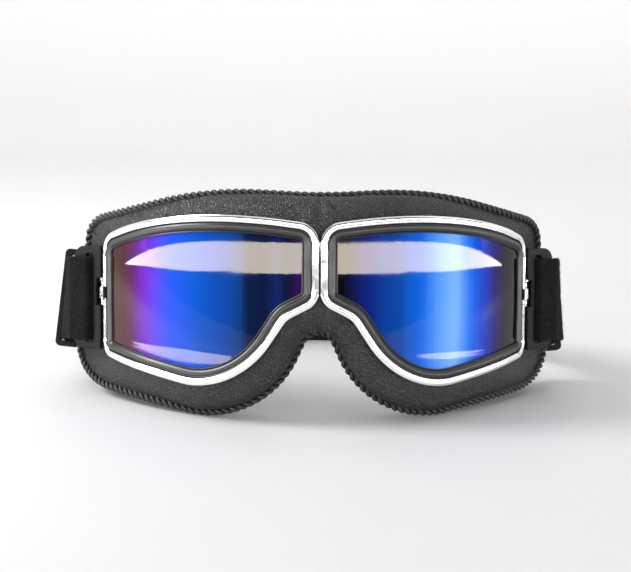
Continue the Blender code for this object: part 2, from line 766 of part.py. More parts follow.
def ribbon(name, plan, slot):
    """A band of strap that stands on a plan path of x, y points."""
    plan = np.array(plan)
    along = np.gradient(plan, axis=0)
    along /= np.linalg.norm(along, axis=1)[:, None]
    points = []
    for (x, y), (run_x, run_y) in zip(plan, along):
        centre = Vector((x, y, strap_rise(y)))
        up = strap_up(y, math.copysign(1.0, x) if abs(x) > ON_PLANE else 0.0)
        out = Vector((run_y, -run_x, 0.0)) * STRAP_THICKNESS / 2
        for a, b in ((1, 1), (1, -1), (-1, -1), (-1, 1)):
            points.append(centre + a * out + b * up * STRAP_HEIGHT / 2)
    faces = [(3, 2, 1, 0)]
    for i in range(len(plan) - 1):
        here, there = 4 * i, 4 * (i + 1)
        for j in range(4):
            k = (j + 1) % 4
            faces.append((here + j, here + k, there + k, there + j))
    last = 4 * (len(plan) - 1)
    faces.append((last, last + 1, last + 2, last + 3))
    return add_mesh(name, points, faces, slot)


def strap_end(name, side):
    """The hook-and-loop end: in through the bracket's window, round its post and back."""
    middle = sum(SLOT_SPAN) / 2
    outer_x = STRAP_X + LAYER_PITCH
    above, below = BAR_CLEARANCE
    turns = (
        (outer_x, STRAP_STRAIGHT_START),
        bracket_point(BRACKET_LENGTH + BAR_OVERHANG, above),
        bracket_point(middle, above),
        bracket_point(middle, below),
        (STRAP_X - 0.5, STRAP_STRAIGHT_START),
        (STRAP_X, STRAP_STRAIGHT_START + 4.0),
    )
    bends = [(*spot, radius) for spot, radius in zip(turns, BAR_BENDS)]
    corners = [(outer_x, TAB_END, 0.0), *bends, (STRAP_X, STRAP_END, 0.0)]
    path, _ = rounded_path(corners, closed=False, arc_step=1.25 * ARC_STEP)
    path[:, 0] *= side
    if side < 0:
        path = path[::-1]
    ribbon(name, path, "loop_tape")


def loop_point(angle):
    """Plan point on the back of the strap's loop; angle 0 is its right-hand side."""
    return STRAP_X * math.cos(angle), LOOP_START + LOOP_DEPTH * math.sin(angle)


def strap_side(name, side):
    gap = PLAY / LOOP_DEPTH
    path = [(STRAP_X, STRAP_END + PLAY)]
    path += [loop_point(a) for a in np.linspace(0.0, BACK_START - gap, SIDE_STEPS)]
    path = np.array(path)
    path[:, 0] *= side
    if side < 0:
        path = path[::-1]
    ribbon(name, path, "elastic")


def strap_back():
    """The rear of the loop, with one flat facet across its middle."""
    angles = np.linspace(BACK_START, math.pi - BACK_START, BACK_STEPS)
    ribbon("strap_back", [loop_point(a) for a in angles], "elastic")


def strap_keeper(name, label, side):
    """A flat rectangular ring round the doubled strap."""
    curve = bpy.data.curves.new(name, "CURVE")
    curve.dimensions = "2D"
    curve.fill_mode = "BOTH"
    curve.extrude = KEEPER_DEPTH / 2 * MM
    for bar, radius in zip((KEEPER_BAR, 0.0), KEEPER_CORNERS):
        a, b = (inner / 2 + bar for inner in KEEPER_INNER)
        corners = ((a, b, radius), (a, -b, radius), (-a, -b, radius), (-a, b, radius))
        path, _ = rounded_path(corners, spacing=KEEPER_INNER[1], arc_step=1.5 * ARC_STEP)
        line = curve.splines.new("POLY")
        line.points.add(len(path) - 1)
        for knot, (x, y) in zip(line.points, path):
            knot.co = (x * MM, y * MM, 0.0, 1.0)
        line.use_cyclic_u = True
    holder = add_object(f"{name}_outline", curve)
    y = KEEPER_Y[label]
    across = STRAP_X + LAYER_PITCH / 2
    place = Vector((side * across, y, strap_rise(y) + KEEPER_LIFT)) * MM
    stand = Matrix.Rotation(math.pi / 2 - STRAP_DROOP, 4, "X")
    lean = Matrix.Rotation(side * STRAP_LEAN, 4, "Z")
    holder.matrix_basis = Matrix.Translation(place) @ stand @ lean
    mesh_from_curve(name, holder, "moulded_plastic")


# ---- Assembly ----
def stand_on_floor(root):
    """Put the assembly's box centred over the origin with its lowest point at height 0."""
    bpy.context.view_layer.update()
    graph = bpy.context.evaluated_depsgraph_get()
    corners = []
    for part in PARTS.objects:
        if part.type == "EMPTY":
            continue
        shape = part.evaluated_get(graph)
        mesh = shape.to_mesh()
        corners += [part.matrix_world @ v.co for v in mesh.vertices]
        shape.to_mesh_clear()
    spread = np.array([tuple(c) for c in corners])
    low, high = spread.min(axis=0), spread.max(axis=0)
    root.location = (-(low[0] + high[0]) / 2, -(low[1] + high[1]) / 2, -low[2])
    bpy.context.view_layer.update()


clear_scene()
PARTS = new_collection("motorcycle_goggles")
TOOLS = new_collection("cutters")
ROOT = bpy.data.objects.new("goggles_origin", None)
PARTS.objects.link(ROOT)
MASK = bpy.data.objects.new("mask_tilt", None)
PARTS.objects.link(MASK)
MASK.parent = ROOT
MASK.rotation_euler = (-MASK_TILT, 0.0, 0.0)

mask_layers()
edge_lacing()
for side_name, side_sign in SIDES.items():
    rim(f"{side_name}_rim", side_sign)
    gasket(f"{side_name}_gasket", side_sign)
    lens(f"{side_name}_lens", side_sign)
    clamp(side_name, side_sign)
    temple_bracket(f"{side_name}_temple_bracket", side_sign)
    strap_end(f"{side_name}_strap_end", side_sign)
    strap_side(f"{side_name}_strap_side", side_sign)
    strap_keeper(f"{side_name}_strap_keeper", side_name, side_sign)
strap_back()
stand_on_floor(ROOT)
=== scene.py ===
"""The looks of the motorcycle goggles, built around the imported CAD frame.

The mask's pieces are drawn in the mask's own frame, in millimetres: +X across, +Y back to the
face, +Z up, with the origin on the front of the nose bridge.  MASK takes them to the frame's
metres.  Angles are in radians.
"""
import math
import random

import bmesh
import bpy
import numpy as np
from mathutils import Matrix, Vector, noise


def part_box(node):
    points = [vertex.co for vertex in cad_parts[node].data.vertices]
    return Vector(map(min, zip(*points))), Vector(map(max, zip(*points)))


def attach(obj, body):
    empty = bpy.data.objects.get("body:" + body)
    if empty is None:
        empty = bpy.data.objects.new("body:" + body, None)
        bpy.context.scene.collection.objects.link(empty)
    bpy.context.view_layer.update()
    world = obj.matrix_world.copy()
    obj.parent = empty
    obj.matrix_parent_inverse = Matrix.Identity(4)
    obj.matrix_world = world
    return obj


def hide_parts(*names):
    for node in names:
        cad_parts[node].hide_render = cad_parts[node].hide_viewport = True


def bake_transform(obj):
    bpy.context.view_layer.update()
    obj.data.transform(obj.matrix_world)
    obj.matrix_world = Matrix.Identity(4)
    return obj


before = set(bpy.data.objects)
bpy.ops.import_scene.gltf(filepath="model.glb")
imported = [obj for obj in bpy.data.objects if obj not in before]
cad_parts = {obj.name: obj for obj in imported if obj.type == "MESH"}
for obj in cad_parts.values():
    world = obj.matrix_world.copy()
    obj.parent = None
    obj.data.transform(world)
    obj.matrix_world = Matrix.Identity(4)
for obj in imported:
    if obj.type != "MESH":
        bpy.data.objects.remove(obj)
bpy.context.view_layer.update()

# ---- The design's driving dimensions, in millimetres ----
WRAP_RADIUS = 95.0                # lenses and rims wrap round this radius, up to WRAP_ANGLE
WRAP_ANGLE = math.radians(60.0)
EDGE_RADIUS = 106.0
EDGE_SETBACK = 12.0
MASK_TILT = math.radians(8.0)

RIM_CORNERS = (
    (0.4, 27.4, 8.0),
    (50.2, 34.2, 220.0),
    (103.6, 22.5, 9.0),
    (102.6, -23.8, 7.0),
    (31.4, -36.1, 36.0),
    (12.2, -7.6, -8.0),
    (0.4, -1.6, 7.0),
)
LENS_CENTRE = (52.0, 1.0)
RIM_WIDTH = 2.5
RIM_DEPTH = 3.0
RIM_CROWN = 0.42
RIM_GROOVE = 0.16
GASKET_INNER = 6.3
GASKET_BACK = -5.9
LENS_EDGE = 4.8
LENS_FRONT = -2.2
LENS_THICKNESS = 2.0
LENS_CROWN = 0.9                  # how far the middle of a lens stands out

EDGE_CORNERS = (
    (41.6, 41.7, 140.0),
    (90.9, 30.0, 10.0),
    (98.0, -34.8, 18.0),
    (19.7, -49.7, 38.0),
)
EDGE_TOP = (0.0, 39.4, -200.0)
NOSE_ARCH = (0.0, -6.4, -5.3)
EYE_CENTRE = (45.0, 0.0)

LACE_RADIUS = 1.5
LACE_WOBBLE = 0.05
STRAND_RADIUS = 0.80
STRAND_OFFSET = 0.74              # of each strand from the middle of the rope
STRAND_SIDES = 12
STITCH_PITCH = 2.9
STITCH_STEPS = 10
BODY_INSET = 2 * LACE_RADIUS + 0.8           # the layers behind the skin stop this far in
BODY_SPACING = 2.5
BODY_STEPS = 10
LEATHER_INSET = 1.7               # the skin runs on under the lacing
LEATHER_FRONT = 3.6
LEATHER_THICKNESS = 2.0
PADDING = 0.7                     # how far the skin stands out over its padding
PUCKER = 0.16                     # how deep each stitch draws it in
FRAME_TOP = 2.6
FRAME_THICKNESS = 2.0
FRAME_OPENING = 5.5
LEATHER_TUCK = 1.2
WIDEST_INSET = 0.7
FULL_ROLL = 8.0

CLAMP_HEIGHT = 0.3
CLAMP_GAP = 4.6
SOLID_AXIS = (106.0, 0.5)         # of the plain barrel in the frame, which places the mask
CLAMP_AXIS = (104.9, -0.9)        # the finished barrel sits closer in
LUG_HEIGHT = 2.6
LUG_SPAN = (102.4, 105.9)
LUG_LEVEL = (-2.3, 0.3)

BRACKET_FOOT = (85.7, 50.7)
BRACKET_ANGLE = math.radians(32.0)
BRACKET_LENGTH = 11.7
BRACKET_THICKNESS = 1.8
BRACKET_HEIGHT = 40.6
BRACKET_CENTRE_Z = -1.6
BRACKET_CORNER = 4.5
BRACKET_BEVEL = 0.25
PLATE_START = -1.1                # the plate runs forward to the rim's edge
SLOT_SPAN = (2.4, 5.9)
SLOT_HEIGHT = 34.8
SLOT_CORNER = 0.7
NOTCH_DEPTH = 1.3
NOTCH_HEIGHT = 10.8
NOTCH_CENTRE_Z = CLAMP_HEIGHT + 0.4
FOOT_WEDGE = ((0.4, -1.6), (4.7, -1.6), (4.5, -4.3), (1.5, -3.4))   # along the plate and out
TAPE_OUT = 1.35                   # of the tape's middle from the plate's, on the outside
TAPE_IN = -3.0

STRAP_HEIGHT = 33.0
STRAP_THICKNESS = 1.6
STRAP_CENTRE_Z = -2.0
STRAP_X = 97.6
LAYER_PITCH = 2.0
STRAP_STRAIGHT_START = 62.7
TAB_END = 93.0
STRAP_END = 98.3
ELASTIC_GAP = 1.2                 # from the tape's end to where the elastic shows
LOOP_START = 100.0
LOOP_DEPTH = 55.0
STRAP_DROOP = math.radians(9.0)
STRAP_LEAN = math.radians(5.5)
STRAP_SETTLE = 2.5                # rounds the bend where the strap comes down on the table
KEEPER_INNER = (5.2, 35.6)
KEEPER_BAR = 2.2
KEEPER_DEPTH = 4.8
KEEPER_CORNERS = (1.9, 0.8)       # radii, outside and inside
KEEPER_EDGE = 0.35
KEEPER_Y = {"left": 77.5, "right": 92.0}
KEEPER_LIFT = 1.2

HEM_SPAN = (-3.0, 2.6)            # the sewn seam, from the strap's end
HEM_THICKNESS = 2.3
STITCH_ROWS = (-1.8, 1.4)
STITCHES = 16                     # in a row
STITCH_STEP = 1.9
STITCH_SIZE = (0.32, 0.42, 1.35)
FIBRES = 11000                    # on each strap end
FIBRE_LENGTH = (0.0004, 0.0011)   # metres, as are the next two
FIBRE_BEND = (0.0001, 0.0003)
FIBRE_WIDTH = 0.00006

PAD_CLEARANCE = 0.4               # between the carcass and the padding
PAD_START = 4                     # of BODY_STEPS, from the opening to the edge
PAD_POWER = 0.45                  # how square the padding's section is: 1 is an ellipse
PAD_LEAN = 0.35                   # how much it stands inwards at the widest part
FOAM_END = 11.0
LINING_SPAN = (7.9, 12.9)
SWELL_VOXEL = 0.0015              # metres
SWELL_FRAMES = 20
SWELL_PRESSURE = 3.0
SWELL_LIMIT = 0.0009              # metres

MM = 0.001
ON_PLANE = 1e-3
SIDES = {"left": -1, "right": 1}


# ---- Paths and the wrap surface ----
def unit(vectors):
    """The same vectors at length 1; the last axis holds their components."""
    return vectors / np.linalg.norm(vectors, axis=-1, keepdims=True)


def travel_along(line):
    """How far each point of a line is from its start, along the line."""
    return np.concatenate([[0.0], np.cumsum(np.linalg.norm(np.diff(line, axis=0), axis=1))])


def rounded_path(corners, closed=True, spacing=1.5, arc_step=math.radians(6.0)):
    """Points and outward normals along straight runs with rounded corners.

    corners are (a, b, radius), clockwise.  An open path keeps its end points.
    """
    spots = [Vector(c[:2]) for c in corners]
    count = len(spots)
    pieces = []
    for i, corner in enumerate(spots):
        radius = abs(corners[i][2])
        if not closed and i in (0, count - 1):
            pieces.append([corner])
            continue
        arriving = (corner - spots[i - 1]).normalized()
        leaving = (spots[(i + 1) % count] - corner).normalized()
        turn = arriving.angle_signed(leaving)
        start = corner - arriving * radius * math.tan(abs(turn) / 2)
        handed = -math.copysign(1.0, turn)
        centre = start + Vector((-arriving.y, arriving.x)) * radius * handed
        facets = 2 * max(1, math.ceil(max(abs(turn) / arc_step, radius * abs(turn) / spacing) / 2))
        swings = [handed * abs(turn) * k / facets for k in range(facets + 1)]
        pieces.append([centre + Matrix.Rotation(a, 2) @ (start - centre) for a in swings])
    points = []
    for i, piece in enumerate(pieces):
        points += piece
        if i == count - 1 and not closed:
            break
        goal = pieces[(i + 1) % count][0]
        steps = max(1, math.ceil((goal - piece[-1]).length / spacing))
        points += [piece[-1].lerp(goal, k / steps) for k in range(1, steps)]
    path = np.array([tuple(p) for p in points])
    ahead, behind = np.roll(path, -1, axis=0), np.roll(path, 1, axis=0)
    if not closed:
        ahead[-1], behind[0] = path[-1], path[0]
    along = unit(ahead - behind)
    return path, np.stack([-along[:, 1], along[:, 0]], axis=1)


def rectangle(left, right, bottom, top, radius):
    return [(left, top, radius), (right, top, radius), (right, bottom, radius), (left, bottom, radius)]


def smooth_step(value, low, high):
    t = min(max((value - low) / (high - low), 0.0), 1.0)
    return t * t * (3 - 2 * t)


def wrap(s, z, h=0.0):
    """The point s along the wrap surface from the nose, z up and h out of the surface."""
    reach = WRAP_RADIUS * WRAP_ANGLE
    angle = min(abs(s), reach) / WRAP_RADIUS
    past = max(abs(s) - reach, 0.0)
    x = (WRAP_RADIUS + h) * math.sin(angle) + past * math.cos(angle)
    y = WRAP_RADIUS - (WRAP_RADIUS + h) * math.cos(angle) + past * math.sin(angle)
    return np.array([math.copysign(x, s), y, z])


def wrap_level(point):
    """How far a point lies out of the wrap surface, and the surface's normal there."""
    angle = min(math.atan2(point[0], WRAP_RADIUS - point[1]), WRAP_ANGLE)
    out = np.array([math.sin(angle), -math.cos(angle), 0.0])
    return float(out @ (point - np.array([0.0, WRAP_RADIUS, point[2]]))) - WRAP_RADIUS, out


def temple_matrix(s, z, h):
    """A frame on the straight end of the wrap: X along it, Y inwards, Z up."""
    return Matrix.Translation(Vector(wrap(s, z, h))) @ Matrix.Rotation(WRAP_ANGLE, 4, "Z")


def mirror(side):
    return Matrix.Diagonal((side, 1.0, 1.0, 1.0))


def mask_matrix():
    """From the mask's millimetres to the frame's metres, found from a clamp's barrel."""
    low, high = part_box("right_clamp_barrel")
    tilt = Matrix.Rotation(-MASK_TILT, 4, "X")
    foot = tilt @ Vector(wrap(SOLID_AXIS[0], CLAMP_HEIGHT, SOLID_AXIS[1])) * MM
    return Matrix.Translation((low + high) / 2 - foot) @ tilt @ Matrix.Scale(MM, 4)


MASK = mask_matrix()


def edge_y(x):
    return EDGE_SETBACK + EDGE_RADIUS - math.sqrt(EDGE_RADIUS**2 - x * x)


def edge_outline(spacing):
    left = [(-x, z, r) for x, z, r in reversed(EDGE_CORNERS)]
    return rounded_path([EDGE_TOP, *EDGE_CORNERS, NOSE_ARCH, *left], spacing=spacing)


# ---- Mesh helpers ----
def smooth(mesh, sharp):
    """Shade a mesh smooth but for the edges that turn more than sharp degrees."""
    mesh.shade_smooth()
    mesh.set_sharp_from_angle(angle=math.radians(sharp))


def link_mesh(name, mesh, sharp):
    """A new object of a mesh, in the scene."""
    smooth(mesh, sharp)
    made = bpy.data.objects.new(name, mesh)
    bpy.context.scene.collection.objects.link(made)
    return made


def add_mesh(name, points, faces, side=1, uvs=None, sharp=40.0):
    """A mesh from points in the mask's millimetres; side -1 makes the mirror image."""
    placed = MASK @ mirror(side)
    mesh = bpy.data.meshes.new(name)
    ordered = faces if side > 0 else [tuple(reversed(f)) for f in faces]
    mesh.from_pydata([placed @ Vector(p) for p in points], [], ordered)
    if uvs is not None:
        layer = mesh.uv_layers.new(name="UVMap")
        for loop in mesh.loops:
            layer.data[loop.index].uv = uvs[loop.vertex_index]
    return link_mesh(name, mesh, sharp)


def add_bmesh(name, shape, matrix):
    """A mesh object from a bmesh in the mask's millimetres, moved by matrix first."""
    bmesh.ops.transform(shape, matrix=MASK @ matrix, verts=shape.verts)
    if matrix.determinant() < 0:
        bmesh.ops.reverse_faces(shape, faces=shape.faces)
    mesh = bpy.data.meshes.new(name)
    shape.to_mesh(mesh)
    shape.free()
    return link_mesh(name, mesh, 40.0)


def finish_piece(piece, material, slot, body, *nodes):
    """Give a piece its material, hide the CAD parts it stands for and attach it to what it moves with. The
    slot is not used.
    """
    piece.data.materials.clear()
    piece.data.materials.append(material)
    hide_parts(*nodes)
    if body:
        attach(piece, body)


def apply_modifiers(piece):
    """Replace a piece's mesh by what its modifiers make of it."""
    bpy.context.view_layer.update()
    shape = piece.evaluated_get(bpy.context.evaluated_depsgraph_get())
    mesh = bpy.data.meshes.new_from_object(shape)
    piece.modifiers.clear()
    piece.data = mesh


def join(first, *others):
    """Move the others' faces into the first piece."""
    whole = bmesh.new()
    for piece in (first, *others):
        whole.from_mesh(piece.data)
    whole.to_mesh(first.data)
    whole.free()
    for piece in others:
        bpy.data.objects.remove(piece, do_unlink=True)
    return first


def tube_faces(rings, size, closed):
    """Quads of a tube of rings of points; an open tube gets end caps."""
    faces = []
    for i in range(rings if closed else rings - 1):
        here, there = i * size, ((i + 1) % rings) * size
        faces += [
            (here + j, there + j, there + (j + 1) % size, here + (j + 1) % size)
            for j in range(size)
        ]
    if not closed:
        last = (rings - 1) * size
        faces.append(tuple(range(size)))
        faces.append(tuple(range(last + size - 1, last - 1, -1)))
    return faces


def rounded_box(size, radius, segments=3):
    box = bmesh.new()
    bmesh.ops.create_cube(box, size=1.0)
    bmesh.ops.scale(box, vec=size, verts=box.verts)
    bmesh.ops.bevel(box, geom=box.edges[:], offset=radius, segments=segments, affect="EDGES",
                    profile=0.5)
    return box


# ---- Node trees ----
class Tree:
    """A small builder for a node tree; a value is a number, a colour or another node's output."""

    def __init__(self, owner):
        owner.use_nodes = True
        self.tree = owner.node_tree

    def give(self, socket, value):
        if isinstance(value, bpy.types.NodeSocket):
            self.tree.links.new(value, socket)
        else:
            socket.default_value = value

    def put(self, node, name, value):
        self.give(next(s for s in node.inputs if s.name == name and s.enabled), value)

    def add(self, kind, settings=(), **inputs):
        """A node; settings are its own properties, and inputs are its sockets' values by name."""
        made = self.tree.nodes.new(kind)
        for key, value in dict(settings).items():
            setattr(made, key, value)
        for key, value in inputs.items():
            self.put(made, key.replace("_", " "), value)
        return made

    def math(self, operation, *values):
        made = self.add("ShaderNodeMath", {"operation": operation})
        for socket, value in zip(made.inputs, values):
            self.give(socket, value)
        return made.outputs[0]

    def plus(self, first, second):
        return self.math("ADD", first, second)

    def minus(self, first, second):
        return self.math("SUBTRACT", first, second)

    def times(self, first, second):
        return self.math("MULTIPLY", first, second)

    def remap(self, value, low, high, to_low, to_high):
        made = self.add("ShaderNodeMapRange", Value=value, From_Min=low, From_Max=high,
                        To_Min=to_low, To_Max=to_high)
        return made.outputs["Result"]

    def axis(self, vector, name):
        return self.add("ShaderNodeSeparateXYZ", Vector=vector).outputs[name]


class Nodes(Tree):
    """One material's nodes, with patterns in object coordinates."""

    def __init__(self, name):
        self.material = bpy.data.materials.new(name)
        super().__init__(self.material)
        self.place = self.add("ShaderNodeTexCoord").outputs["Object"]

    def set(self, **inputs):
        """Give the surface its inputs, and return the finished material."""
        for key, value in inputs.items():
            self.put(self.tree.nodes["Principled BSDF"], key.replace("_", " "), value)
        return self.material

    def noise(self, scale, detail=3.0, roughness=0.55, where=None):
        made = self.add("ShaderNodeTexNoise", Vector=where or self.place, Scale=scale,
                        Detail=detail, Roughness=roughness)
        return made.outputs["Fac"]

    def cells(self, scale, feature="F1", where=None):
        made = self.add("ShaderNodeTexVoronoi", {"feature": feature}, Vector=where or self.place,
                        Scale=scale)
        return made.outputs["Distance"]

    def ramp(self, value, *stops):
        """A colour ramp; stops are (position, (r, g, b))."""
        made = self.add("ShaderNodeValToRGB", Fac=value)
        line = made.color_ramp.elements
        while len(line) < len(stops):
            line.new(0.5)
        for element, (position, colour) in zip(line, stops):
            element.position = position
            element.color = (*colour, 1.0)
        return made.outputs["Color"]

    def bump(self, height, depth, strength=1.0, onto=None):
        """Bumps of a height texture, depth metres deep, on top of another bump."""
        made = self.add("ShaderNodeBump", Height=height, Strength=strength, Distance=depth)
        if onto is not None:
            self.put(made, "Normal", onto)
        return made.outputs["Normal"]

    def uv(self, scale_v=1.0):
        coords = self.add("ShaderNodeTexCoord").outputs["UV"]
        return self.add("ShaderNodeMapping", Vector=coords, Scale=(1.0, scale_v, 1.0)).outputs["Vector"]


# ---- Materials ----
def chrome_material():
    """Bright plating with a few fine pits."""
    n = Nodes("chrome")
    pits = n.remap(n.cells(500.0), 0.02, 0.07, 0.0, 1.0)
    return n.set(
        Base_Color=n.ramp(pits, (0.0, (0.74, 0.73, 0.71)), (1.0, (0.94, 0.94, 0.95))),
        Metallic=1.0,
        Roughness=n.remap(n.noise(160.0, 4.0), 0.3, 0.7, 0.06, 0.13),
        Normal=n.bump(n.noise(220.0), 0.00001, 0.2),
    )


def rubber_material():
    n = Nodes("gasket_rubber")
    return n.set(
        Base_Color=n.ramp(n.noise(90.0), (0.3, (0.012, 0.012, 0.0115)), (0.7, (0.019, 0.019, 0.018))),
        Roughness=n.remap(n.noise(240.0), 0.3, 0.7, 0.28, 0.38),
        Specular_IOR_Level=0.6,
        Normal=n.bump(n.noise(1500.0), 0.00002, 0.35),
    )


# Painted reflection: these colours hold what the mirror shows. Near the nose it faces the dark room behind
# the camera and is nearly black. Towards the temple the view grows slanting, and the colour runs to blue,
# violet and brown.
LEFT_COAT_AND_PAINTED_REFLECTION = (                    # the coat's colours with painted reflection, from the nose to the temple
    (0.03, (0.008, 0.002, 0.022)),
    (0.08, (0.020, 0.003, 0.070)),
    (0.115, (0.001, 0.003, 0.022)),
    (0.16, (0.002, 0.010, 0.075)),
    (0.21, (0.000, 0.004, 0.028)),
    (0.275, (0.000, 0.006, 0.040)),
    (0.296, (0.001, 0.028, 0.135)),
    (0.36, (0.001, 0.038, 0.235)),
    (0.49, (0.001, 0.058, 0.370)),
    (0.60, (0.010, 0.056, 0.520)),
    (0.66, (0.042, 0.040, 0.520)),
    (0.74, (0.098, 0.009, 0.350)),
    (0.82, (0.060, 0.004, 0.070)),
    (0.88, (0.042, 0.007, 0.012)),
    (0.96, (0.018, 0.005, 0.004)),
)
# The right lens's colours, with its reflection painted in the same way.
RIGHT_COAT_AND_PAINTED_REFLECTION = (
    (0.09, (0.000, 0.000, 0.001)),
    (0.12, (0.001, 0.003, 0.050)),
    (0.19, (0.000, 0.012, 0.165)),
    (0.31, (0.000, 0.048, 0.290)),
    (0.40, (0.001, 0.100, 0.580)),
    (0.49, (0.080, 0.270, 0.800)),
    (0.56, (0.150, 0.350, 0.820)),
    (0.63, (0.008, 0.130, 0.700)),
    (0.70, (0.000, 0.040, 0.500)),
    (0.79, (0.004, 0.002, 0.120)),
    (0.86, (0.004, 0.000, 0.014)),
    (0.93, (0.002, 0.000, 0.001)),
)
BACK_SHADE = 0.93                  # where on the ramp the dark back of a lens takes its colour
LENS_LENGTH = WRAP_RADIUS * WRAP_ANGLE


def lens_material(name, stops):
    """A mirror coat whose colour runs across the lens, over faint vertical streaks; the colour has the
    mirror's reflection painted in.
    """
    n = Nodes(name)
    streaks = n.noise(34.0, 3.0, 0.6, n.uv(0.02))
    across = n.plus(n.axis(n.uv(), "X"), n.times(n.minus(streaks, 0.5), 0.06))
    return n.set(
        # the ramp paints the mirror's reflection into the base colour
        Base_Color=n.ramp(across, *stops),
        Roughness=n.remap(n.noise(38.0), 0.4, 0.8, 0.015, 0.05),
        IOR=1.37,
        Specular_Tint=(1.0, 0.90, 0.72, 1.0),
    )


def leather_material():
    """Fine pebbled leather: rounded cells with creases."""
    n = Nodes("leather")
    drift = n.add("ShaderNodeTexNoise", Vector=n.place, Scale=600.0).outputs["Color"]
    warp = n.add("ShaderNodeVectorMath", {"operation": "MULTIPLY_ADD"})
    for socket, value in zip(warp.inputs, (drift, (0.0007, 0.0007, 0.0007), n.place)):
        n.give(socket, value)
    pebbles = n.remap(n.cells(980.0, "DISTANCE_TO_EDGE", warp.outputs[0]), 0.0, 0.30, 0.0, 1.0)
    fine = n.noise(3200.0, 4.0, 0.6)
    broad = n.noise(38.0, 4.0, 0.6)
    tone = n.plus(n.times(pebbles, 0.5), n.times(broad, 0.7))
    return n.set(
        Base_Color=n.ramp(tone, (0.30, (0.0015, 0.0015, 0.0014)), (0.90, (0.024, 0.0235, 0.0215))),
        Roughness=n.remap(n.plus(pebbles, broad), 0.2, 1.6, 0.54, 0.24),
        Specular_IOR_Level=0.46,
        Normal=n.bump(pebbles, 0.00022, 1.0, n.bump(fine, 0.00006, 0.6, n.bump(broad, 0.0010, 0.6))),
    )


def lace_material():
    """Thin waxed leather: painted shade down between the turns and a painted highlight on their crowns,
    which are also glossier than the dull hollows.
    """
    n = Nodes("lace")
    # painted shade and highlight: the colour runs from dark close to the rope's middle to light on a
    # strand's crown
    crown = n.remap(n.axis(n.uv(), "Y"), 0.70, 0.98, 0.0, 1.0)
    grain = n.noise(2600.0, 4.0, 0.6)
    tone = n.times(crown, n.remap(grain, 0.3, 0.7, 0.5, 1.0))
    return n.set(
        Base_Color=n.ramp(tone, (0.0, (0.002, 0.002, 0.002)), (1.0, (0.030, 0.029, 0.027))),
        Roughness=n.remap(tone, 0.0, 1.0, 0.75, 0.40),
        Specular_IOR_Level=0.45,
        Normal=n.bump(grain, 0.00012, 0.6),
    )


def plastic_material():
    """Spark-textured moulding."""
    n = Nodes("moulded_plastic")
    return n.set(
        Base_Color=n.ramp(n.noise(60.0), (0.3, (0.004, 0.004, 0.0042)), (0.7, (0.008, 0.008, 0.0083))),
        Roughness=n.remap(n.noise(500.0), 0.3, 0.7, 0.42, 0.55),
        Specular_IOR_Level=0.16,
        Normal=n.bump(n.noise(2200.0, 2.0), 0.00004, 0.5),
    )


def foam_material():
    """Open-celled foam."""
    n = Nodes("foam")
    pores = n.remap(n.cells(900.0), 0.1, 0.6, 0.0, 1.0)
    return n.set(
        Base_Color=n.ramp(pores, (0.0, (0.008, 0.008, 0.008)), (0.6, (0.035, 0.035, 0.036))),
        Roughness=0.95,
        Sheen_Weight=0.15,
        Normal=n.bump(pores, 0.0003, 0.8),
    )


def pile_material(name, dark, light, scale):
    """Brushed fibres: plush, or the fuzzy side of hook-and-loop tape."""
    n = Nodes(name)
    tufts = n.noise(scale, 5.0, 0.7)
    patches = n.noise(scale * 0.16)
    tone = n.plus(n.times(tufts, 0.75), n.times(patches, 0.25))
    return n.set(
        Base_Color=n.ramp(tone, (0.42, dark), (0.64, light)),
        Roughness=0.95,
        Sheen_Weight=0.05,
        Sheen_Roughness=0.6,
        Sheen_Tint=(0.55, 0.52, 0.5, 1.0),
        Specular_IOR_Level=0.12,
        Normal=n.bump(tufts, 0.0008, 1.0, n.bump(patches, 0.0006, 0.6)),
    )


def webbing_material():
    """Ribbed elastic: cords along the band, crossed by fine weft threads."""
    n = Nodes("elastic")
    ribs = n.add("ShaderNodeTexWave", {"bands_direction": "Y"}, Vector=n.uv(), Scale=0.30)
    weft = n.add("ShaderNodeTexWave", {"bands_direction": "X"}, Vector=n.uv(), Scale=0.55)
    weave = n.times(ribs.outputs["Fac"], n.remap(weft.outputs["Fac"], 0.0, 1.0, 0.6, 1.0))
    fuzz = n.noise(1800.0)
    return n.set(
        Base_Color=n.ramp(weave, (0.0, (0.002, 0.002, 0.002)), (1.0, (0.018, 0.018, 0.0185))),
        Roughness=n.remap(fuzz, 0.3, 0.7, 0.72, 0.9),
        Sheen_Weight=0.06,
        Specular_IOR_Level=0.25,
        Normal=n.bump(weave, 0.00025, 0.8, n.bump(fuzz, 0.0001, 0.4)),
    )


def thread_material():
    n = Nodes("thread")
    twist = n.noise(2600.0)
    return n.set(
        Base_Color=n.ramp(twist, (0.3, (0.012, 0.012, 0.012)), (0.7, (0.05, 0.05, 0.05))),
        Roughness=0.6,
        Normal=n.bump(twist, 0.0001, 0.6),
    )


def paper_material():
    """Studio paper with painted light and shade: pale grey in front, lighter behind the object and a little
    darker again up the sweep.
    """
    n = Nodes("studio_paper")
    depth = n.remap(n.axis(n.place, "Y"), -0.10, 1.20, 0.0, 1.0)
    # painted light and shade by depth: these greys stand for the lamps' fall-off across the paper
    painted_light_greys = ((0.02, 0.615), (0.31, 0.72), (0.60, 0.76), (0.78, 0.785), (0.95, 0.70))
    uneven = n.plus(depth, n.times(n.noise(3.0), 0.04))
    return n.set(
        Base_Color=n.ramp(uneven, *((at, (g, g, g)) for at, g in painted_light_greys)),
        Roughness=n.remap(n.noise(30.0), 0.3, 0.7, 0.55, 0.65),
        Normal=n.bump(n.noise(700.0), 0.00005, 0.2),
    )


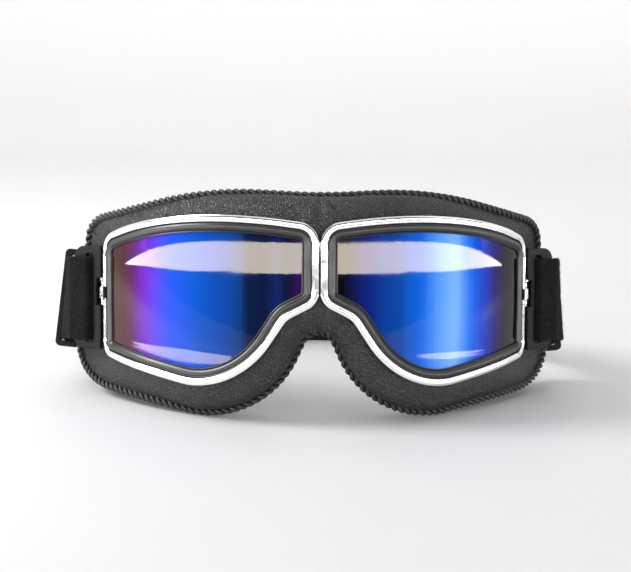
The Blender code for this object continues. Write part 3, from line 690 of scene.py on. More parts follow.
CHROME = chrome_material()
RUBBER = rubber_material()
LENSES = {
    "left": lens_material("left_lens", LEFT_COAT_AND_PAINTED_REFLECTION),
    "right": lens_material("right_lens", RIGHT_COAT_AND_PAINTED_REFLECTION),
}
LEATHER = leather_material()
LACE = lace_material()
PLASTIC = plastic_material()
FOAM = foam_material()
PLUSH = pile_material("plush", (0.006, 0.006, 0.006), (0.030, 0.029, 0.028), 1100.0)
LOOP_TAPE = pile_material("loop_tape", (0.001, 0.001, 0.001), (0.010, 0.0095, 0.009), 850.0)
ELASTIC = webbing_material()
THREAD = thread_material()


# ---- Rims, gaskets and lenses ----
def rim_path(split=False):
    """The rim's outline; split, it starts under the clamp and ends over it."""
    if not split:
        return rounded_path(RIM_CORNERS)
    upper, lower = RIM_CORNERS[2], RIM_CORNERS[3]
    ends = []
    for sign in (-1, 1):
        z = CLAMP_HEIGHT + sign * CLAMP_GAP / 2
        share = (upper[1] - z) / (upper[1] - lower[1])
        ends.append((upper[0] + share * (lower[0] - upper[0]), z, 0.0))
    return rounded_path([ends[0], *RIM_CORNERS[3:], *RIM_CORNERS[:3], ends[1]], closed=False)


def swept(name, section, side, split=False):
    """A closed section of (inset, height) points swept round the rim's outline."""
    path, outward = rim_path(split)
    points = []
    for (s, z), (across, up) in zip(path, outward):
        points += [wrap(s - d * across, z - d * up, h) for d, h in section]
    return add_mesh(name, points, tube_faces(len(path), len(section), not split), side)


def rim_section():
    """Flat sides under a low crown with soft shoulders and a shallow groove near its inside."""
    top = []
    for t in np.linspace(0.0, 1.0, 13):
        dip = RIM_CROWN * abs(2 * t - 1) ** 2.6
        groove = RIM_GROOVE * math.exp(-(((t - 0.74) / 0.07) ** 2))
        top.append((RIM_WIDTH * t, -dip - groove))
    return [(0.0, -RIM_DEPTH), *top, (RIM_WIDTH, -RIM_DEPTH)]


def rim(label, side):
    bar = swept(f"{label}_rim_bar", rim_section(), side, split=True)
    lugs = []
    size = (LUG_SPAN[1] - LUG_SPAN[0], LUG_LEVEL[1] - LUG_LEVEL[0], LUG_HEIGHT)
    for sign in (-1, 1):
        z = CLAMP_HEIGHT + sign * (CLAMP_GAP + LUG_HEIGHT) / 2
        spot = mirror(side) @ temple_matrix(sum(LUG_SPAN) / 2, z, sum(LUG_LEVEL) / 2)
        lugs.append(add_bmesh(f"{label}_lug", rounded_box(size, 0.45), spot))
    bar.name = f"{label}_rim_visual"
    join(bar, *lugs)
    finish_piece(bar, CHROME, "chrome", "root", f"{label}_rim")


def gasket(label, side):
    """A rounded band with a raised inner lip, grooved for the lens."""
    outer = RIM_WIDTH + 0.1
    section = [(outer, GASKET_BACK), (outer, -1.3)]
    for t in np.linspace(0.0, 1.0, 9):
        section.append((outer + 0.1 + 2.9 * t, -1.15 + 0.75 * math.sin(math.pi * t) ** 0.8))
    section += [
        (GASKET_INNER - 0.55, -1.30),
        (GASKET_INNER - 0.40, -0.98),
        (GASKET_INNER - 0.15, -0.90),
        (GASKET_INNER, -1.05),
        (GASKET_INNER, GASKET_BACK),
    ]
    band = swept(f"{label}_gasket_visual", section, side)
    finish_piece(band, RUBBER, "gasket_rubber", "root", f"{label}_gasket")


def lens_height(z):
    """The front's level: a slight crown from top to bottom."""
    return LENS_FRONT + LENS_CROWN * max(0.0, 1 - ((z - LENS_CENTRE[1]) / 30.0) ** 2)


def lens(label, side):
    """A curved plate, front and back, in rings that shrink to its middle."""
    path, outward = rim_path()
    count, rings = len(path), 16
    points, uvs = [], []
    for back in (0.0, LENS_THICKNESS):
        for ring in range(rings + 1):
            spots = [LENS_CENTRE]
            if ring < rings:
                share = 1.0 - ring / rings
                edges = path - LENS_EDGE * outward
                spots = [[c + share * (e - c) for c, e in zip(LENS_CENTRE, edge)] for edge in edges]
            for s, z in spots:
                points.append(wrap(s, z, lens_height(z) - back))
                uvs.append((BACK_SHADE if back else s / LENS_LENGTH, z / LENS_LENGTH + 0.5))
    layer = count * rings + 1
    faces = []
    for i in range(count):
        k = (i + 1) % count
        for a in range(0, (rings - 1) * count, count):
            b = a + count
            faces.append((a + k, a + i, b + i, b + k))
            faces.append((layer + a + i, layer + a + k, layer + b + k, layer + b + i))
        last = (rings - 1) * count
        faces.append((last + k, last + i, layer - 1))
        faces.append((layer + last + i, layer + last + k, 2 * layer - 1))
        faces.append((i, k, layer + k, layer + i))
    plate = add_mesh(f"{label}_lens_visual", points, faces, side, uvs)
    finish_piece(plate, LENSES[label], "mirror_lens", "root", f"{label}_lens")


def turned(name, profile, spot, side):
    """A solid of revolution about the clamp's axis; profile is (radius, height), top down."""
    steps = 32
    points = []
    for r, z in profile:
        for k in range(steps):
            a = 2 * math.pi * k / steps
            points.append(spot + np.array([r * math.cos(a), r * math.sin(a), z]))
    faces = tube_faces(len(profile), steps, closed=False)
    return add_mesh(name, points, faces, side, sharp=30.0)


def clamp(label, side):
    """A waisted barrel on a slotted screw, between the rim's lugs."""
    spot = wrap(CLAMP_AXIS[0], CLAMP_HEIGHT, CLAMP_AXIS[1])
    half = CLAMP_GAP / 2 - 0.2
    upper = [(1.15, half), (1.35, half - 0.2), (1.35, 0.7), (1.22, 0.5)]
    lower = [(r, -z) for r, z in reversed(upper)]
    barrel = turned(f"{label}_clamp_barrel_visual", upper + lower, spot, side)
    finish_piece(barrel, CHROME, "chrome", "root", f"{label}_clamp_barrel")
    top = CLAMP_GAP / 2 + LUG_HEIGHT
    profile = [(0.75, top + 1.2), (1.0, top + 1.12), (1.2, top + 0.85), (1.2, top + 0.05),
               (0.5, top), (0.5, -top - 0.2), (0.35, -top - 0.4)]
    head = turned(f"{label}_clamp_screw_visual", profile, spot, side)
    finish_piece(head, CHROME, "chrome", "root", f"{label}_clamp_screw")


# ---- Layers of the mask ----
def bearing_of(point):
    return math.atan2(point[2] - EYE_CENTRE[1], point[0] - EYE_CENTRE[0])


def rim_crossing(inset):
    """A function from a bearing to the point there on the rim's outline, moved inwards."""
    path, outward = rounded_path(RIM_CORNERS, spacing=1.0)
    line = np.array([wrap(s, z, -LEATHER_FRONT) for s, z in path - inset * outward])
    bearings = np.array([bearing_of(p) for p in line])
    order = np.argsort(bearings)
    line, bearings = line[order], bearings[order]

    def crossing(bearing):
        turn = 2 * math.pi
        return np.array([np.interp(bearing, bearings, line[:, i], period=turn) for i in range(3)])

    return crossing


def along_ray(ray, shares):
    start, bend, end = ray
    t = shares[:, None]
    return (1 - t) ** 2 * start + 2 * t * (1 - t) * bend + t**2 * end


def mask_rays(spacing, inset):
    """Rays over the front of the leather, right half, from the eye opening to the edge.

    Those between the rims end on the centre line instead.
    """
    edge, edge_out = edge_outline(spacing)
    opening = rim_crossing(FRAME_OPENING)
    rays = []
    for (x, z), (across, up) in zip(edge, edge_out):
        if x < -ON_PLANE:
            continue
        x, across = (0.0, 0.0) if x < ON_PLANE else (x, across)
        end = np.array([x - inset * across, edge_y(x - inset * across), z - inset * up])
        start = opening(bearing_of(end))
        depth = -LEATHER_FRONT - wrap_level(end)[0]
        along = 0.5 + 0.5 * min(max(depth / FULL_ROLL, 0.0), 1.0)
        bend = start + along * (end - start)
        level, out = wrap_level(bend)
        rays.append((start, bend - (LEATHER_FRONT + level) * out, end))
    crown, arch = rays[0], rays[-1]
    if crown[2][2] < arch[2][2]:
        crown, arch = arch, crown
        rays.reverse()

    def down_the_roll(ray, height, share):
        foot = np.array([0.0, LEATHER_FRONT, height])
        end = along_ray((foot, ray[1], ray[2]), np.array([share]))[0]
        start = opening(bearing_of(end))
        middle = (start + end) / 2
        return start, middle + share * (ray[1] - middle), end

    top, bottom = RIM_CORNERS[0][1], RIM_CORNERS[-1][1]
    shares = np.linspace(0.0, 1.0, max(4, round(14.0 / spacing)))[1:-1]
    rays += [down_the_roll(arch, bottom, share) for share in shares[::-1]]
    for height in np.linspace(bottom, top, max(5, round((top - bottom) / spacing))):
        end = np.array([0.0, LEATHER_FRONT, height])
        start = opening(bearing_of(end))
        rays.append((start, (start + end) / 2, end))
    rays += [down_the_roll(crown, top, share) for share in shares]
    return rays


def layer_grid(rays, rim_inset, steps):
    """Points along every ray, from inside the rim's outline out to the end, with normals."""
    opening = rim_crossing(rim_inset)
    rows = []
    for ray in rays:
        shares = np.linspace(0.0, 1.0, 61)
        travel = np.linalg.norm(along_ray(ray, shares) - ray[0], axis=1)
        skipped = np.linalg.norm(opening(bearing_of(ray[2])) - ray[0])
        first = min(np.interp(skipped, travel, shares), WIDEST_INSET)
        rows.append(along_ray(ray, np.linspace(first, 1.0, steps + 1)))
    grid = np.array(rows)
    along = np.gradient(grid, axis=1)
    around = np.roll(grid, -1, axis=0) - np.roll(grid, 1, axis=0)
    normal = np.cross(around, along)
    normal[np.abs(grid[:, :, 0]) < ON_PLANE, 0] = 0.0
    normal = unit(normal)
    if normal[:, 0, 1].mean() > 0:
        normal = -normal
    return grid, normal


def whole_shell(name, loops, sharp=50.0):
    """Skin a closed row of closed loops, open on the mirror plane, with its mirror image."""
    size = len(loops[0])
    points = [p for loop in loops for p in loop]
    half = []
    for face in tube_faces(len(loops), size, closed=True):
        if not all(abs(points[v][0]) < ON_PLANE for v in face):
            half.append(face)
    count = len(points)
    other = [tuple(count + v for v in reversed(f)) for f in half]
    points += [np.array([-p[0], p[1], p[2]]) for p in points]
    made = add_mesh(name, points, half + other)
    whole = bmesh.new()
    whole.from_mesh(made.data)
    bmesh.ops.remove_doubles(whole, verts=whole.verts, dist=0.00003)
    loose = [v for v in whole.verts if not v.link_faces]
    bmesh.ops.delete(whole, geom=loose, context="VERTS")
    bmesh.ops.recalc_face_normals(whole, faces=whole.faces)
    whole.to_mesh(made.data)
    whole.free()
    smooth(made.data, sharp)
    return made


def leather_cover():
    """The padded skin: full over its padding, drawn in at the rims and by every stitch."""
    rays = mask_rays(0.9, LEATHER_INSET)
    grid, normal = layer_grid(rays, LEATHER_TUCK, 26)
    steps = grid.shape[1]
    travel = travel_along(grid[:, -1])
    front = grid.copy()
    for i in range(len(grid)):
        length = np.linalg.norm(np.diff(grid[i], axis=0), axis=1).sum()
        for j in range(steps):
            t = j / (steps - 1)
            fullness = PADDING * min(1.0, length / 9.0) * math.sin(math.pi * min(t * 1.15, 1.0)) ** 0.7
            seam = math.exp(-(((1 - t) * length) / 1.6) ** 2)
            pucker = PUCKER * seam * math.cos(2 * math.pi * travel[i] / STITCH_PITCH)
            out = normal[i, j] * (fullness + pucker)
            if grid[i, j, 0] < ON_PLANE:
                out[0] = 0.0
            front[i, j] = grid[i, j] + out
    back = grid - LEATHER_THICKNESS * normal
    loops = [list(f) + list(b[::-1]) for f, b in zip(front, back)]
    skin = whole_shell("leather_cover_visual", loops, sharp=70.0)
    ripple(skin, 0.00016, 140.0)
    ripple(skin, 0.00030, 45.0)
    finish_piece(skin, LEATHER, "leather", "root", "leather_cover")


def ripple(piece, height, scale):
    """Shift points along their normals by smooth noise."""
    mesh = piece.data
    normals = [v.normal.copy() for v in mesh.vertices]
    for vertex, normal in zip(mesh.vertices, normals):
        vertex.co += normal * height * noise.noise(vertex.co * scale)


def body_grid():
    """The grid that the carcass and the face padding are built on."""
    return layer_grid(mask_rays(BODY_SPACING, BODY_INSET), FRAME_OPENING, BODY_STEPS)


def carcass():
    """The moulded shell behind the leather, with its smooth inner face."""
    grid, normal = body_grid()
    front, back = grid - FRAME_TOP * normal, grid - (FRAME_TOP + FRAME_THICKNESS) * normal
    loops = [list(f) + list(b[::-1]) for f, b in zip(front, back)]
    shell = whole_shell("mask_frame_visual", loops)
    finish_piece(shell, PLASTIC, "moulded_plastic", "root", "mask_frame")


def backward(point):
    """The way the face padding stands off the carcass: back, and a little inwards at the sides."""
    return unit(np.array([-PAD_LEAN * point[0] / EDGE_CORNERS[2][0], 1.0, 0.0]))


def pad_loops(near, far, bulge):
    """Closed loops of the face padding, between two distances behind the carcass."""
    grid, normal = body_grid()
    loops = []
    for row, out in zip(grid[:, PAD_START:], normal[:, PAD_START:]):
        if LEATHER_FRONT + ON_PLANE < row[-1][1] < EDGE_SETBACK - ON_PLANE:
            continue
        seat = row - (FRAME_TOP + FRAME_THICKNESS + PAD_CLEARANCE) * out
        middle = (seat[0] + seat[-1]) / 2
        across = unit(seat[-1] - seat[0])
        half = np.linalg.norm(seat[-1] - seat[0]) / 2
        on_centre = seat[-1][0] < ON_PLANE
        loop = [] if near > 0 else list(seat)
        for a in np.linspace(0.0, math.pi, 13):
            swing = math.copysign(abs(math.cos(a)) ** PAD_POWER, math.cos(a))
            fuller = 0.0 if on_centre and swing > 0 else bulge * math.sin(a)
            rise = near + 1.0 + (far - near - 1.0) * abs(math.sin(a)) ** PAD_POWER
            spot = middle + across * (half + fuller) * swing + rise * backward(middle)
            if on_centre:
                spot[0] = max(spot[0], 0.0) if swing < 0.97 else 0.0
            loop.append(spot)
        loops.append(loop)
    return loops


# ---- Lacing ----
def edge_curve(spacing):
    """The middle line of the lacing."""
    path, outward = edge_outline(spacing)
    inner = path - LACE_RADIUS * outward
    return np.array([(x, edge_y(x), z) for x, z in inner])


def evenly(points, count):
    """The closed line through the points, divided into count equal steps."""
    ring = np.vstack([points, points[:1]])
    travel = travel_along(ring)
    marks = np.linspace(0.0, travel[-1], count, endpoint=False)
    return np.stack([np.interp(marks, travel, ring[:, i]) for i in range(3)], axis=1)


def direction_round(ring):
    """The direction of a closed line at each of its points."""
    return unit(np.roll(ring, -1, axis=0) - np.roll(ring, 1, axis=0))


def edge_lacing():
    """Two leather strands twisted round the mask's edge, one bulge for each stitch.

    A strand's second UV is its clearance from the middle of the rope; the lace's material paints shade
    where it is small and a highlight where it is large.
    """
    base = edge_curve(1.0)
    length = travel_along(np.vstack([base, base[:1]]))[-1]
    stitches = 2 * round(length / STITCH_PITCH / 2)
    steps = stitches * STITCH_STEPS
    centre = evenly(base, steps)
    along = direction_round(centre)
    out = unit(np.cross(np.array([0.0, 1.0, 0.0]), along))
    face = np.cross(along, out)
    points, faces, uvs = [], [], []
    for turn in (0.0, math.pi):
        phase = turn + math.pi * stitches * np.arange(steps) / steps
        wobble = np.array([LACE_WOBBLE * noise.noise(Vector(c) * 0.35) for c in centre])
        swing = np.cos(phase)[:, None] * out + np.sin(phase)[:, None] * face
        helix = centre + (STRAND_OFFSET + wobble)[:, None] * swing
        run = direction_round(helix)
        aside = unit(np.cross(run, out))
        over = np.cross(aside, run)
        start = len(points)
        for spot, a, b in zip(helix, aside, over):
            for k in range(STRAND_SIDES):
                angle = 2 * math.pi * k / STRAND_SIDES
                points.append(spot + STRAND_RADIUS * (math.cos(angle) * a + math.sin(angle) * b))
        middles = np.repeat(centre, STRAND_SIDES, axis=0)
        # this clearance carries the lace's painted shade and highlight
        clear = np.linalg.norm(np.array(points[start:]) - middles, axis=1) / (STRAND_OFFSET + STRAND_RADIUS)
        uvs += [(k / STRAND_SIDES, float(c)) for k, c in enumerate(clear)]
        faces += [tuple(start + v for v in f) for f in tube_faces(steps, STRAND_SIDES, closed=True)]
    rope = add_mesh("edge_lacing_visual", points, faces, uvs=uvs, sharp=80.0)
    finish_piece(rope, LACE, "lace", "root", "edge_lacing")


# ---- Temple brackets ----
def bracket_point(along, out):
    x = BRACKET_FOOT[0] + along * math.cos(BRACKET_ANGLE) + out * math.sin(BRACKET_ANGLE)
    y = BRACKET_FOOT[1] + along * math.sin(BRACKET_ANGLE) - out * math.cos(BRACKET_ANGLE)
    return x, y


def temple_bracket(label, side):
    """The plate with its window, notch and rounded corners, its wedge foot and raised border."""
    half = BRACKET_HEIGHT / 2
    notch_low = NOTCH_CENTRE_Z - BRACKET_CENTRE_Z - NOTCH_HEIGHT / 2
    notch_high = notch_low + NOTCH_HEIGHT
    outline = [
        (PLATE_START, half, 0.5), (BRACKET_LENGTH, half, BRACKET_CORNER),
        (BRACKET_LENGTH, -half, BRACKET_CORNER), (PLATE_START, -half, 0.5),
        (PLATE_START, notch_low, 0.6), (NOTCH_DEPTH, notch_low, 1.0),
        (NOTCH_DEPTH, notch_high, 1.0), (PLATE_START, notch_high, 0.6),
    ]
    window = rectangle(*SLOT_SPAN, -SLOT_HEIGHT / 2, SLOT_HEIGHT / 2, SLOT_CORNER)
    curve = bpy.data.curves.new(f"{label}_plate", "CURVE")
    curve.dimensions = "2D"
    curve.fill_mode = "BOTH"
    curve.extrude = BRACKET_THICKNESS / 2 - BRACKET_BEVEL
    curve.bevel_depth = BRACKET_BEVEL
    curve.bevel_resolution = 2
    curve.offset = -BRACKET_BEVEL
    for corners in (outline, window):
        path, _ = rounded_path(corners, spacing=30.0, arc_step=math.radians(12.0))
        line = curve.splines.new("POLY")
        line.points.add(len(path) - 1)
        for knot, (a, b) in zip(line.points, path):
            knot.co = (a, b, 0.0, 1.0)
        line.use_cyclic_u = True
    holder = bpy.data.objects.new(f"{label}_plate", curve)
    bpy.context.scene.collection.objects.link(holder)
    bpy.context.view_layer.update()
    mesh = bpy.data.meshes.new_from_object(holder.evaluated_get(bpy.context.evaluated_depsgraph_get()))
    bpy.data.objects.remove(holder, do_unlink=True)
    plate = bmesh.new()
    plate.from_mesh(mesh)
    bmesh.ops.remove_doubles(plate, verts=plate.verts, dist=1e-4)
    x, y = bracket_point(0.0, -BRACKET_THICKNESS / 2)
    stand = (Matrix.Translation((x, y, BRACKET_CENTRE_Z)) @ Matrix.Rotation(BRACKET_ANGLE, 4, "Z")
             @ Matrix.Rotation(math.pi / 2, 4, "X"))
    panel = add_bmesh(f"{label}_temple_bracket_visual", plate, mirror(side) @ stand)
    foot = []
    for low, high in ((0.3 - half, notch_low - 0.5), (notch_high + 0.5, half - 0.3)):
        points = [(*bracket_point(*p), BRACKET_CENTRE_Z + z) for z in (low, high) for p in FOOT_WEDGE]
        foot.append(add_mesh(f"{label}_foot", points, tube_faces(2, 4, closed=False), side))
    join(panel, *foot)
    finish_piece(panel, PLASTIC, "moulded_plastic", "root", f"{label}_temple_bracket")


# ---- Strap and keepers ----
def floor_height():
    low = min(z * math.cos(MASK_TILT) - y * math.sin(MASK_TILT) for _, y, z in edge_curve(2.0))
    return low - LACE_RADIUS


FLOOR_HEIGHT = floor_height()


def strap_rise(y):
    """Height of the strap's middle, in the mask's frame, at a depth."""
    drooping = STRAP_CENTRE_Z - math.tan(STRAP_DROOP) * max(y - STRAP_STRAIGHT_START, 0.0)
    resting = (FLOOR_HEIGHT + y * math.sin(MASK_TILT)) / math.cos(MASK_TILT)
    apart = drooping - resting - STRAP_HEIGHT / 2
    return drooping + (math.hypot(apart, STRAP_SETTLE) - apart) / 2


def strap_up(y, side):
    """The strap's upward direction: it leans out below at the sides, and stands at the back."""
    lean = STRAP_LEAN * smooth_step(y, 58.0, 66.0) * (1 - smooth_step(y, STRAP_END, 130.0))
    stand = MASK_TILT * smooth_step(y, STRAP_END, 125.0)
    return np.array([-math.sin(lean) * side, -math.sin(stand), math.cos(lean) * math.cos(stand)])


def band_section(thickness, height, across=34):
    """A closed section of (out, up) points with rounded edges."""
    half, radius = height / 2, thickness / 2
    right = [(radius, half - radius - (height - 2 * radius) * k / across) for k in range(across + 1)]
    bottom = [(radius * math.cos(a), -half + radius - radius * math.sin(a))
              for a in np.linspace(0.0, math.pi, 7)[1:-1]]
    return right + bottom + [(-a, -b) for a, b in right + bottom]


def ribbon(name, plan, thickness=STRAP_THICKNESS, height=STRAP_HEIGHT, across=34):
    """A band standing on a plan path of x, y points, with lengths in millimetres as its UVs."""
    plan = np.array(plan)
    section = band_section(thickness, height, across)
    points, uvs = [], []
    for (x, y), (run_x, run_y), gone in zip(plan, unit(np.gradient(plan, axis=0)), travel_along(plan)):
        centre = np.array([x, y, strap_rise(y)])
        up = strap_up(y, math.copysign(1.0, x) * smooth_step(abs(x), 0.0, 20.0))
        out = np.array([run_y, -run_x, 0.0])
        for a, b in section:
            points.append(centre + a * out + b * up)
            uvs.append((gone, b))
    faces = tube_faces(len(plan), len(section), closed=False)
    return add_mesh(name, points, [tuple(reversed(f)) for f in faces], 1, uvs, sharp=70.0)


def end_path(side):
    """The hook-and-loop end: in through the bracket's window, round its post and back."""
    middle = SLOT_SPAN[0] + 1.2
    outer_x = STRAP_X + LAYER_PITCH
    corners = (
        (outer_x, TAB_END, 0.0),
        (outer_x, STRAP_STRAIGHT_START, 10.0),
        (*bracket_point(BRACKET_LENGTH + 0.6, TAPE_OUT), 2.5),
        (*bracket_point(middle, TAPE_OUT), 1.1),
        (*bracket_point(middle, TAPE_IN), 1.1),
        (STRAP_X - 0.5, STRAP_STRAIGHT_START, 3.0),
        (STRAP_X, STRAP_STRAIGHT_START + 4.0, 6.0),
        (STRAP_X, STRAP_END + 4.0, 0.0),
    )
    path, _ = rounded_path(corners, closed=False, spacing=1.1, arc_step=math.radians(14.0))
    path[:, 0] *= side
    return path if side > 0 else path[::-1]


def strap_end(label, side):
    tape = ribbon(f"{label}_strap_end_visual", end_path(side), across=44)
    ripple(tape, 0.00022, 700.0)
    ripple(tape, 0.00018, 220.0)
    join(tape, fuzz(tape, 7 + side))
    finish_piece(tape, LOOP_TAPE, "loop_tape", "root", f"{label}_strap_end")


def fuzz(piece, seed):
    """Short loose fibres that stand on a piece's faces, each a thin bent blade."""
    draw = random.Random(seed)
    mesh = piece.data
    areas = np.array([p.area for p in mesh.polygons])
    order = np.cumsum(areas) / areas.sum()
    points, faces = [], []
    for _ in range(FIBRES):
        polygon = mesh.polygons[min(int(np.searchsorted(order, draw.random())), len(areas) - 1)]
        corners = [mesh.vertices[v].co for v in polygon.vertices][:4]
        weights = [draw.random() for _ in corners]
        spot = sum((c * w for c, w in zip(corners, weights)), Vector()) / sum(weights)
        lean = Vector([draw.uniform(-1, 1) for _ in range(3)])
        tip = (polygon.normal + lean * 0.9).normalized() * draw.uniform(*FIBRE_LENGTH)
        bend = tip / 2 + polygon.normal * draw.uniform(*FIBRE_BEND)
        aside = tip.cross(lean).normalized() * FIBRE_WIDTH / 2
        base = len(points)
        points += [spot - aside, spot + aside, spot + bend + aside, spot + bend - aside, spot + tip]
        faces += [(base, base + 1, base + 2, base + 3), (base + 3, base + 2, base + 4)]
    made = bpy.data.meshes.new("fuzz")
    made.from_pydata(points, [], faces)
    return bpy.data.objects.new("fuzz", made)


def loop_point(angle):
    return STRAP_X * math.cos(angle), LOOP_START + LOOP_DEPTH * math.sin(angle)


def elastic_strap():
    """One elastic band round the back, built in place."""
    side_path = [(STRAP_X, y) for y in np.arange(STRAP_END + ELASTIC_GAP, LOOP_START, 1.0)]
    plan = side_path + [loop_point(a) for a in np.linspace(0.0, math.pi, 181)]
    plan += [(-x, y) for x, y in reversed(side_path)]
    band = ribbon("elastic_strap", plan, across=30)
    finish_piece(band, ELASTIC, "elastic", None, "left_strap_side", "right_strap_side", "strap_back")
    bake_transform(band)


def strap_seam(label, side):
    """Where the tape's end is sewn round the elastic: a hem with two rows of stitches."""
    path = [(side * STRAP_X, STRAP_END + y) for y in np.linspace(*HEM_SPAN, 8)]
    hem = ribbon(f"{label}_strap_hem", path[::-side], HEM_THICKNESS, STRAP_HEIGHT + 0.5, across=20)
    ripple(hem, 0.0001, 500.0)
    finish_piece(hem, LOOP_TAPE, "loop_tape", "root")
    stitches = []
    for row in STITCH_ROWS:
        y = STRAP_END + row
        for face in (-1, 1):
            for k in range(STITCHES):
                spot = np.array([side * STRAP_X + face * (HEM_THICKNESS / 2 + 0.03), y, strap_rise(y)])
                spot += strap_up(y, side) * (k - (STITCHES - 1) / 2) * STITCH_STEP
                bead = rounded_box(STITCH_SIZE, 0.15, 2)
                stitches.append(add_bmesh("stitch", bead, Matrix.Translation(spot)))
    thread = join(*stitches)
    thread.name = f"{label}_strap_stitches"
    finish_piece(thread, THREAD, "loop_tape", "root")


def strap_keeper(label, side):
    """A rectangular ring with softened edges round the doubled strap."""
    ring = []
    for bar, radius in zip((KEEPER_BAR, 0.0), KEEPER_CORNERS):
        a, b = (inner / 2 + bar for inner in KEEPER_INNER)
        path, _ = rounded_path(rectangle(-a, a, -b, b, radius), spacing=60.0, arc_step=math.radians(15.0))
        ring.append(path)
    half, soft = KEEPER_DEPTH / 2, KEEPER_EDGE
    points = []
    for out, within in zip(*ring):
        nudge = unit(within - out) * soft
        section = (
            (out, soft - half), (out + nudge, -half), (within - nudge, -half), (within, soft - half),
            (within, half - soft), (within - nudge, half), (out + nudge, half), (out, half - soft),
        )
        points += [(*spot, depth) for spot, depth in section]
    y = KEEPER_Y[label]
    middle = Vector((side * (STRAP_X + LAYER_PITCH / 2), y, strap_rise(y) + KEEPER_LIFT))
    lean = Matrix.Rotation(side * STRAP_LEAN, 4, "Z")
    place = Matrix.Translation(middle) @ Matrix.Rotation(math.pi / 2 - STRAP_DROOP, 4, "X") @ lean
    faces = tube_faces(len(ring[0]), 8, closed=True)
    loop = add_mesh(f"{label}_strap_keeper_visual", [place @ Vector(p) for p in points], faces, sharp=35.0)
    finish_piece(loop, PLASTIC, "moulded_plastic", f"{label}_keeper", f"{label}_strap_keeper")


# ---- Face padding ----
def swell(piece):
    """Blow a remeshed pad up a little as cloth, and keep it."""
    remesh = piece.modifiers.new("remesh", "REMESH")
    remesh.mode = "VOXEL"
    remesh.voxel_size = SWELL_VOXEL
    apply_modifiers(piece)
    start = [v.co.copy() for v in piece.data.vertices]
    cloth = piece.modifiers.new("cloth", "CLOTH")
    cloth.settings.quality = 4
    cloth.settings.use_pressure = True
    cloth.settings.uniform_pressure_force = SWELL_PRESSURE
    cloth.settings.effector_weights.gravity = 0.0
    for step in range(1, SWELL_FRAMES + 1):
        bpy.context.scene.frame_set(step)
    apply_modifiers(piece)
    bpy.context.scene.frame_set(1)
    for vertex, at in zip(piece.data.vertices, start):
        moved = vertex.co - at
        if moved.length > SWELL_LIMIT:
            vertex.co = at + moved * (SWELL_LIMIT / moved.length)
    finer = piece.modifiers.new("finer", "SUBSURF")
    finer.levels = 1
    finer.render_levels = 1
    apply_modifiers(piece)
    piece.data.shade_smooth()


def face_padding():
    """The foam ring behind the carcass, and the lining over its end."""
    foam = whole_shell("face_foam_visual", pad_loops(0.0, FOAM_END, 0.4), sharp=60.0)
    lining = whole_shell("face_lining_visual", pad_loops(*LINING_SPAN, 1.3), sharp=60.0)
    swell(lining)
    ripple(foam, 0.0002, 260.0)
    ripple(lining, 0.00025, 200.0)
    finish_piece(foam, FOAM, "foam", "root", "face_foam")
    finish_piece(lining, PLUSH, "plush", "root", "face_lining")


# ---- Studio, in metres ----
SWEEP_RADIUS, SWEEP_BACK, SWEEP_REACH, SWEEP_HEIGHT = 0.5, 0.9, 40.0, 2.6
GLOW = (1.0, 0.99, 0.985, 1.0)
STRIP_SLOPE, STRIP_FOOT = 0.1416, 0.0027     # the strip light's lower edge, by the sine of its height
STRIP_MIDDLE, STRIP_REACH, STRIP_HEIGHT = 0.87, 1.2, 0.0636
STRIP_POWER = 21.0
TIP_DISTANCE = 0.5                # of the cards that carry the strip's ends, from a lens
TABLE_CARD_POWER = 12.0
PLAIN_BACKGROUND = 0.93           # what the camera sees past the paper
CAMERA_TURN, CAMERA_RISE, CAMERA_ROLL = (math.radians(a) for a in (-2.0, 10.0, 0.6))
CAMERA_DISTANCE = 0.6
CAMERA_LENS = 93.8                # millimetres, on the usual 36 mm sensor
CAMERA_AIM = (-0.0016, 0.0, 0.0051)          # from the nose bridge


def studio_sweep():
    """Pale paper on the table, swept up behind the object."""
    bend = np.linspace(0.0, math.pi / 2, 17)[1:]
    profile = [(-SWEEP_REACH, 0.0), (SWEEP_BACK, 0.0)]
    profile += [(SWEEP_BACK + SWEEP_RADIUS * math.sin(a), SWEEP_RADIUS * (1 - math.cos(a))) for a in bend]
    profile.append((SWEEP_BACK + SWEEP_RADIUS, SWEEP_HEIGHT))
    count = len(profile)
    mesh = bpy.data.meshes.new("studio_sweep")
    mesh.from_pydata([(x, y, z) for x in (-SWEEP_REACH, SWEEP_REACH) for y, z in profile], [],
                     [(i, count + i, count + i + 1, i + 1) for i in range(count - 1)])
    mesh.materials.append(paper_material())
    link_mesh("studio_sweep", mesh, 180.0)


def area_light(name, at, size, power, toward):
    light = bpy.data.lights.new(name, "AREA")
    light.shape = "RECTANGLE"
    light.size, light.size_y = size
    light.energy = power
    lamp = bpy.data.objects.new(name, light)
    lamp.location = at
    lamp.rotation_euler = (Vector(toward) - Vector(at)).to_track_quat("-Z", "Y").to_euler()
    bpy.context.scene.collection.objects.link(lamp)


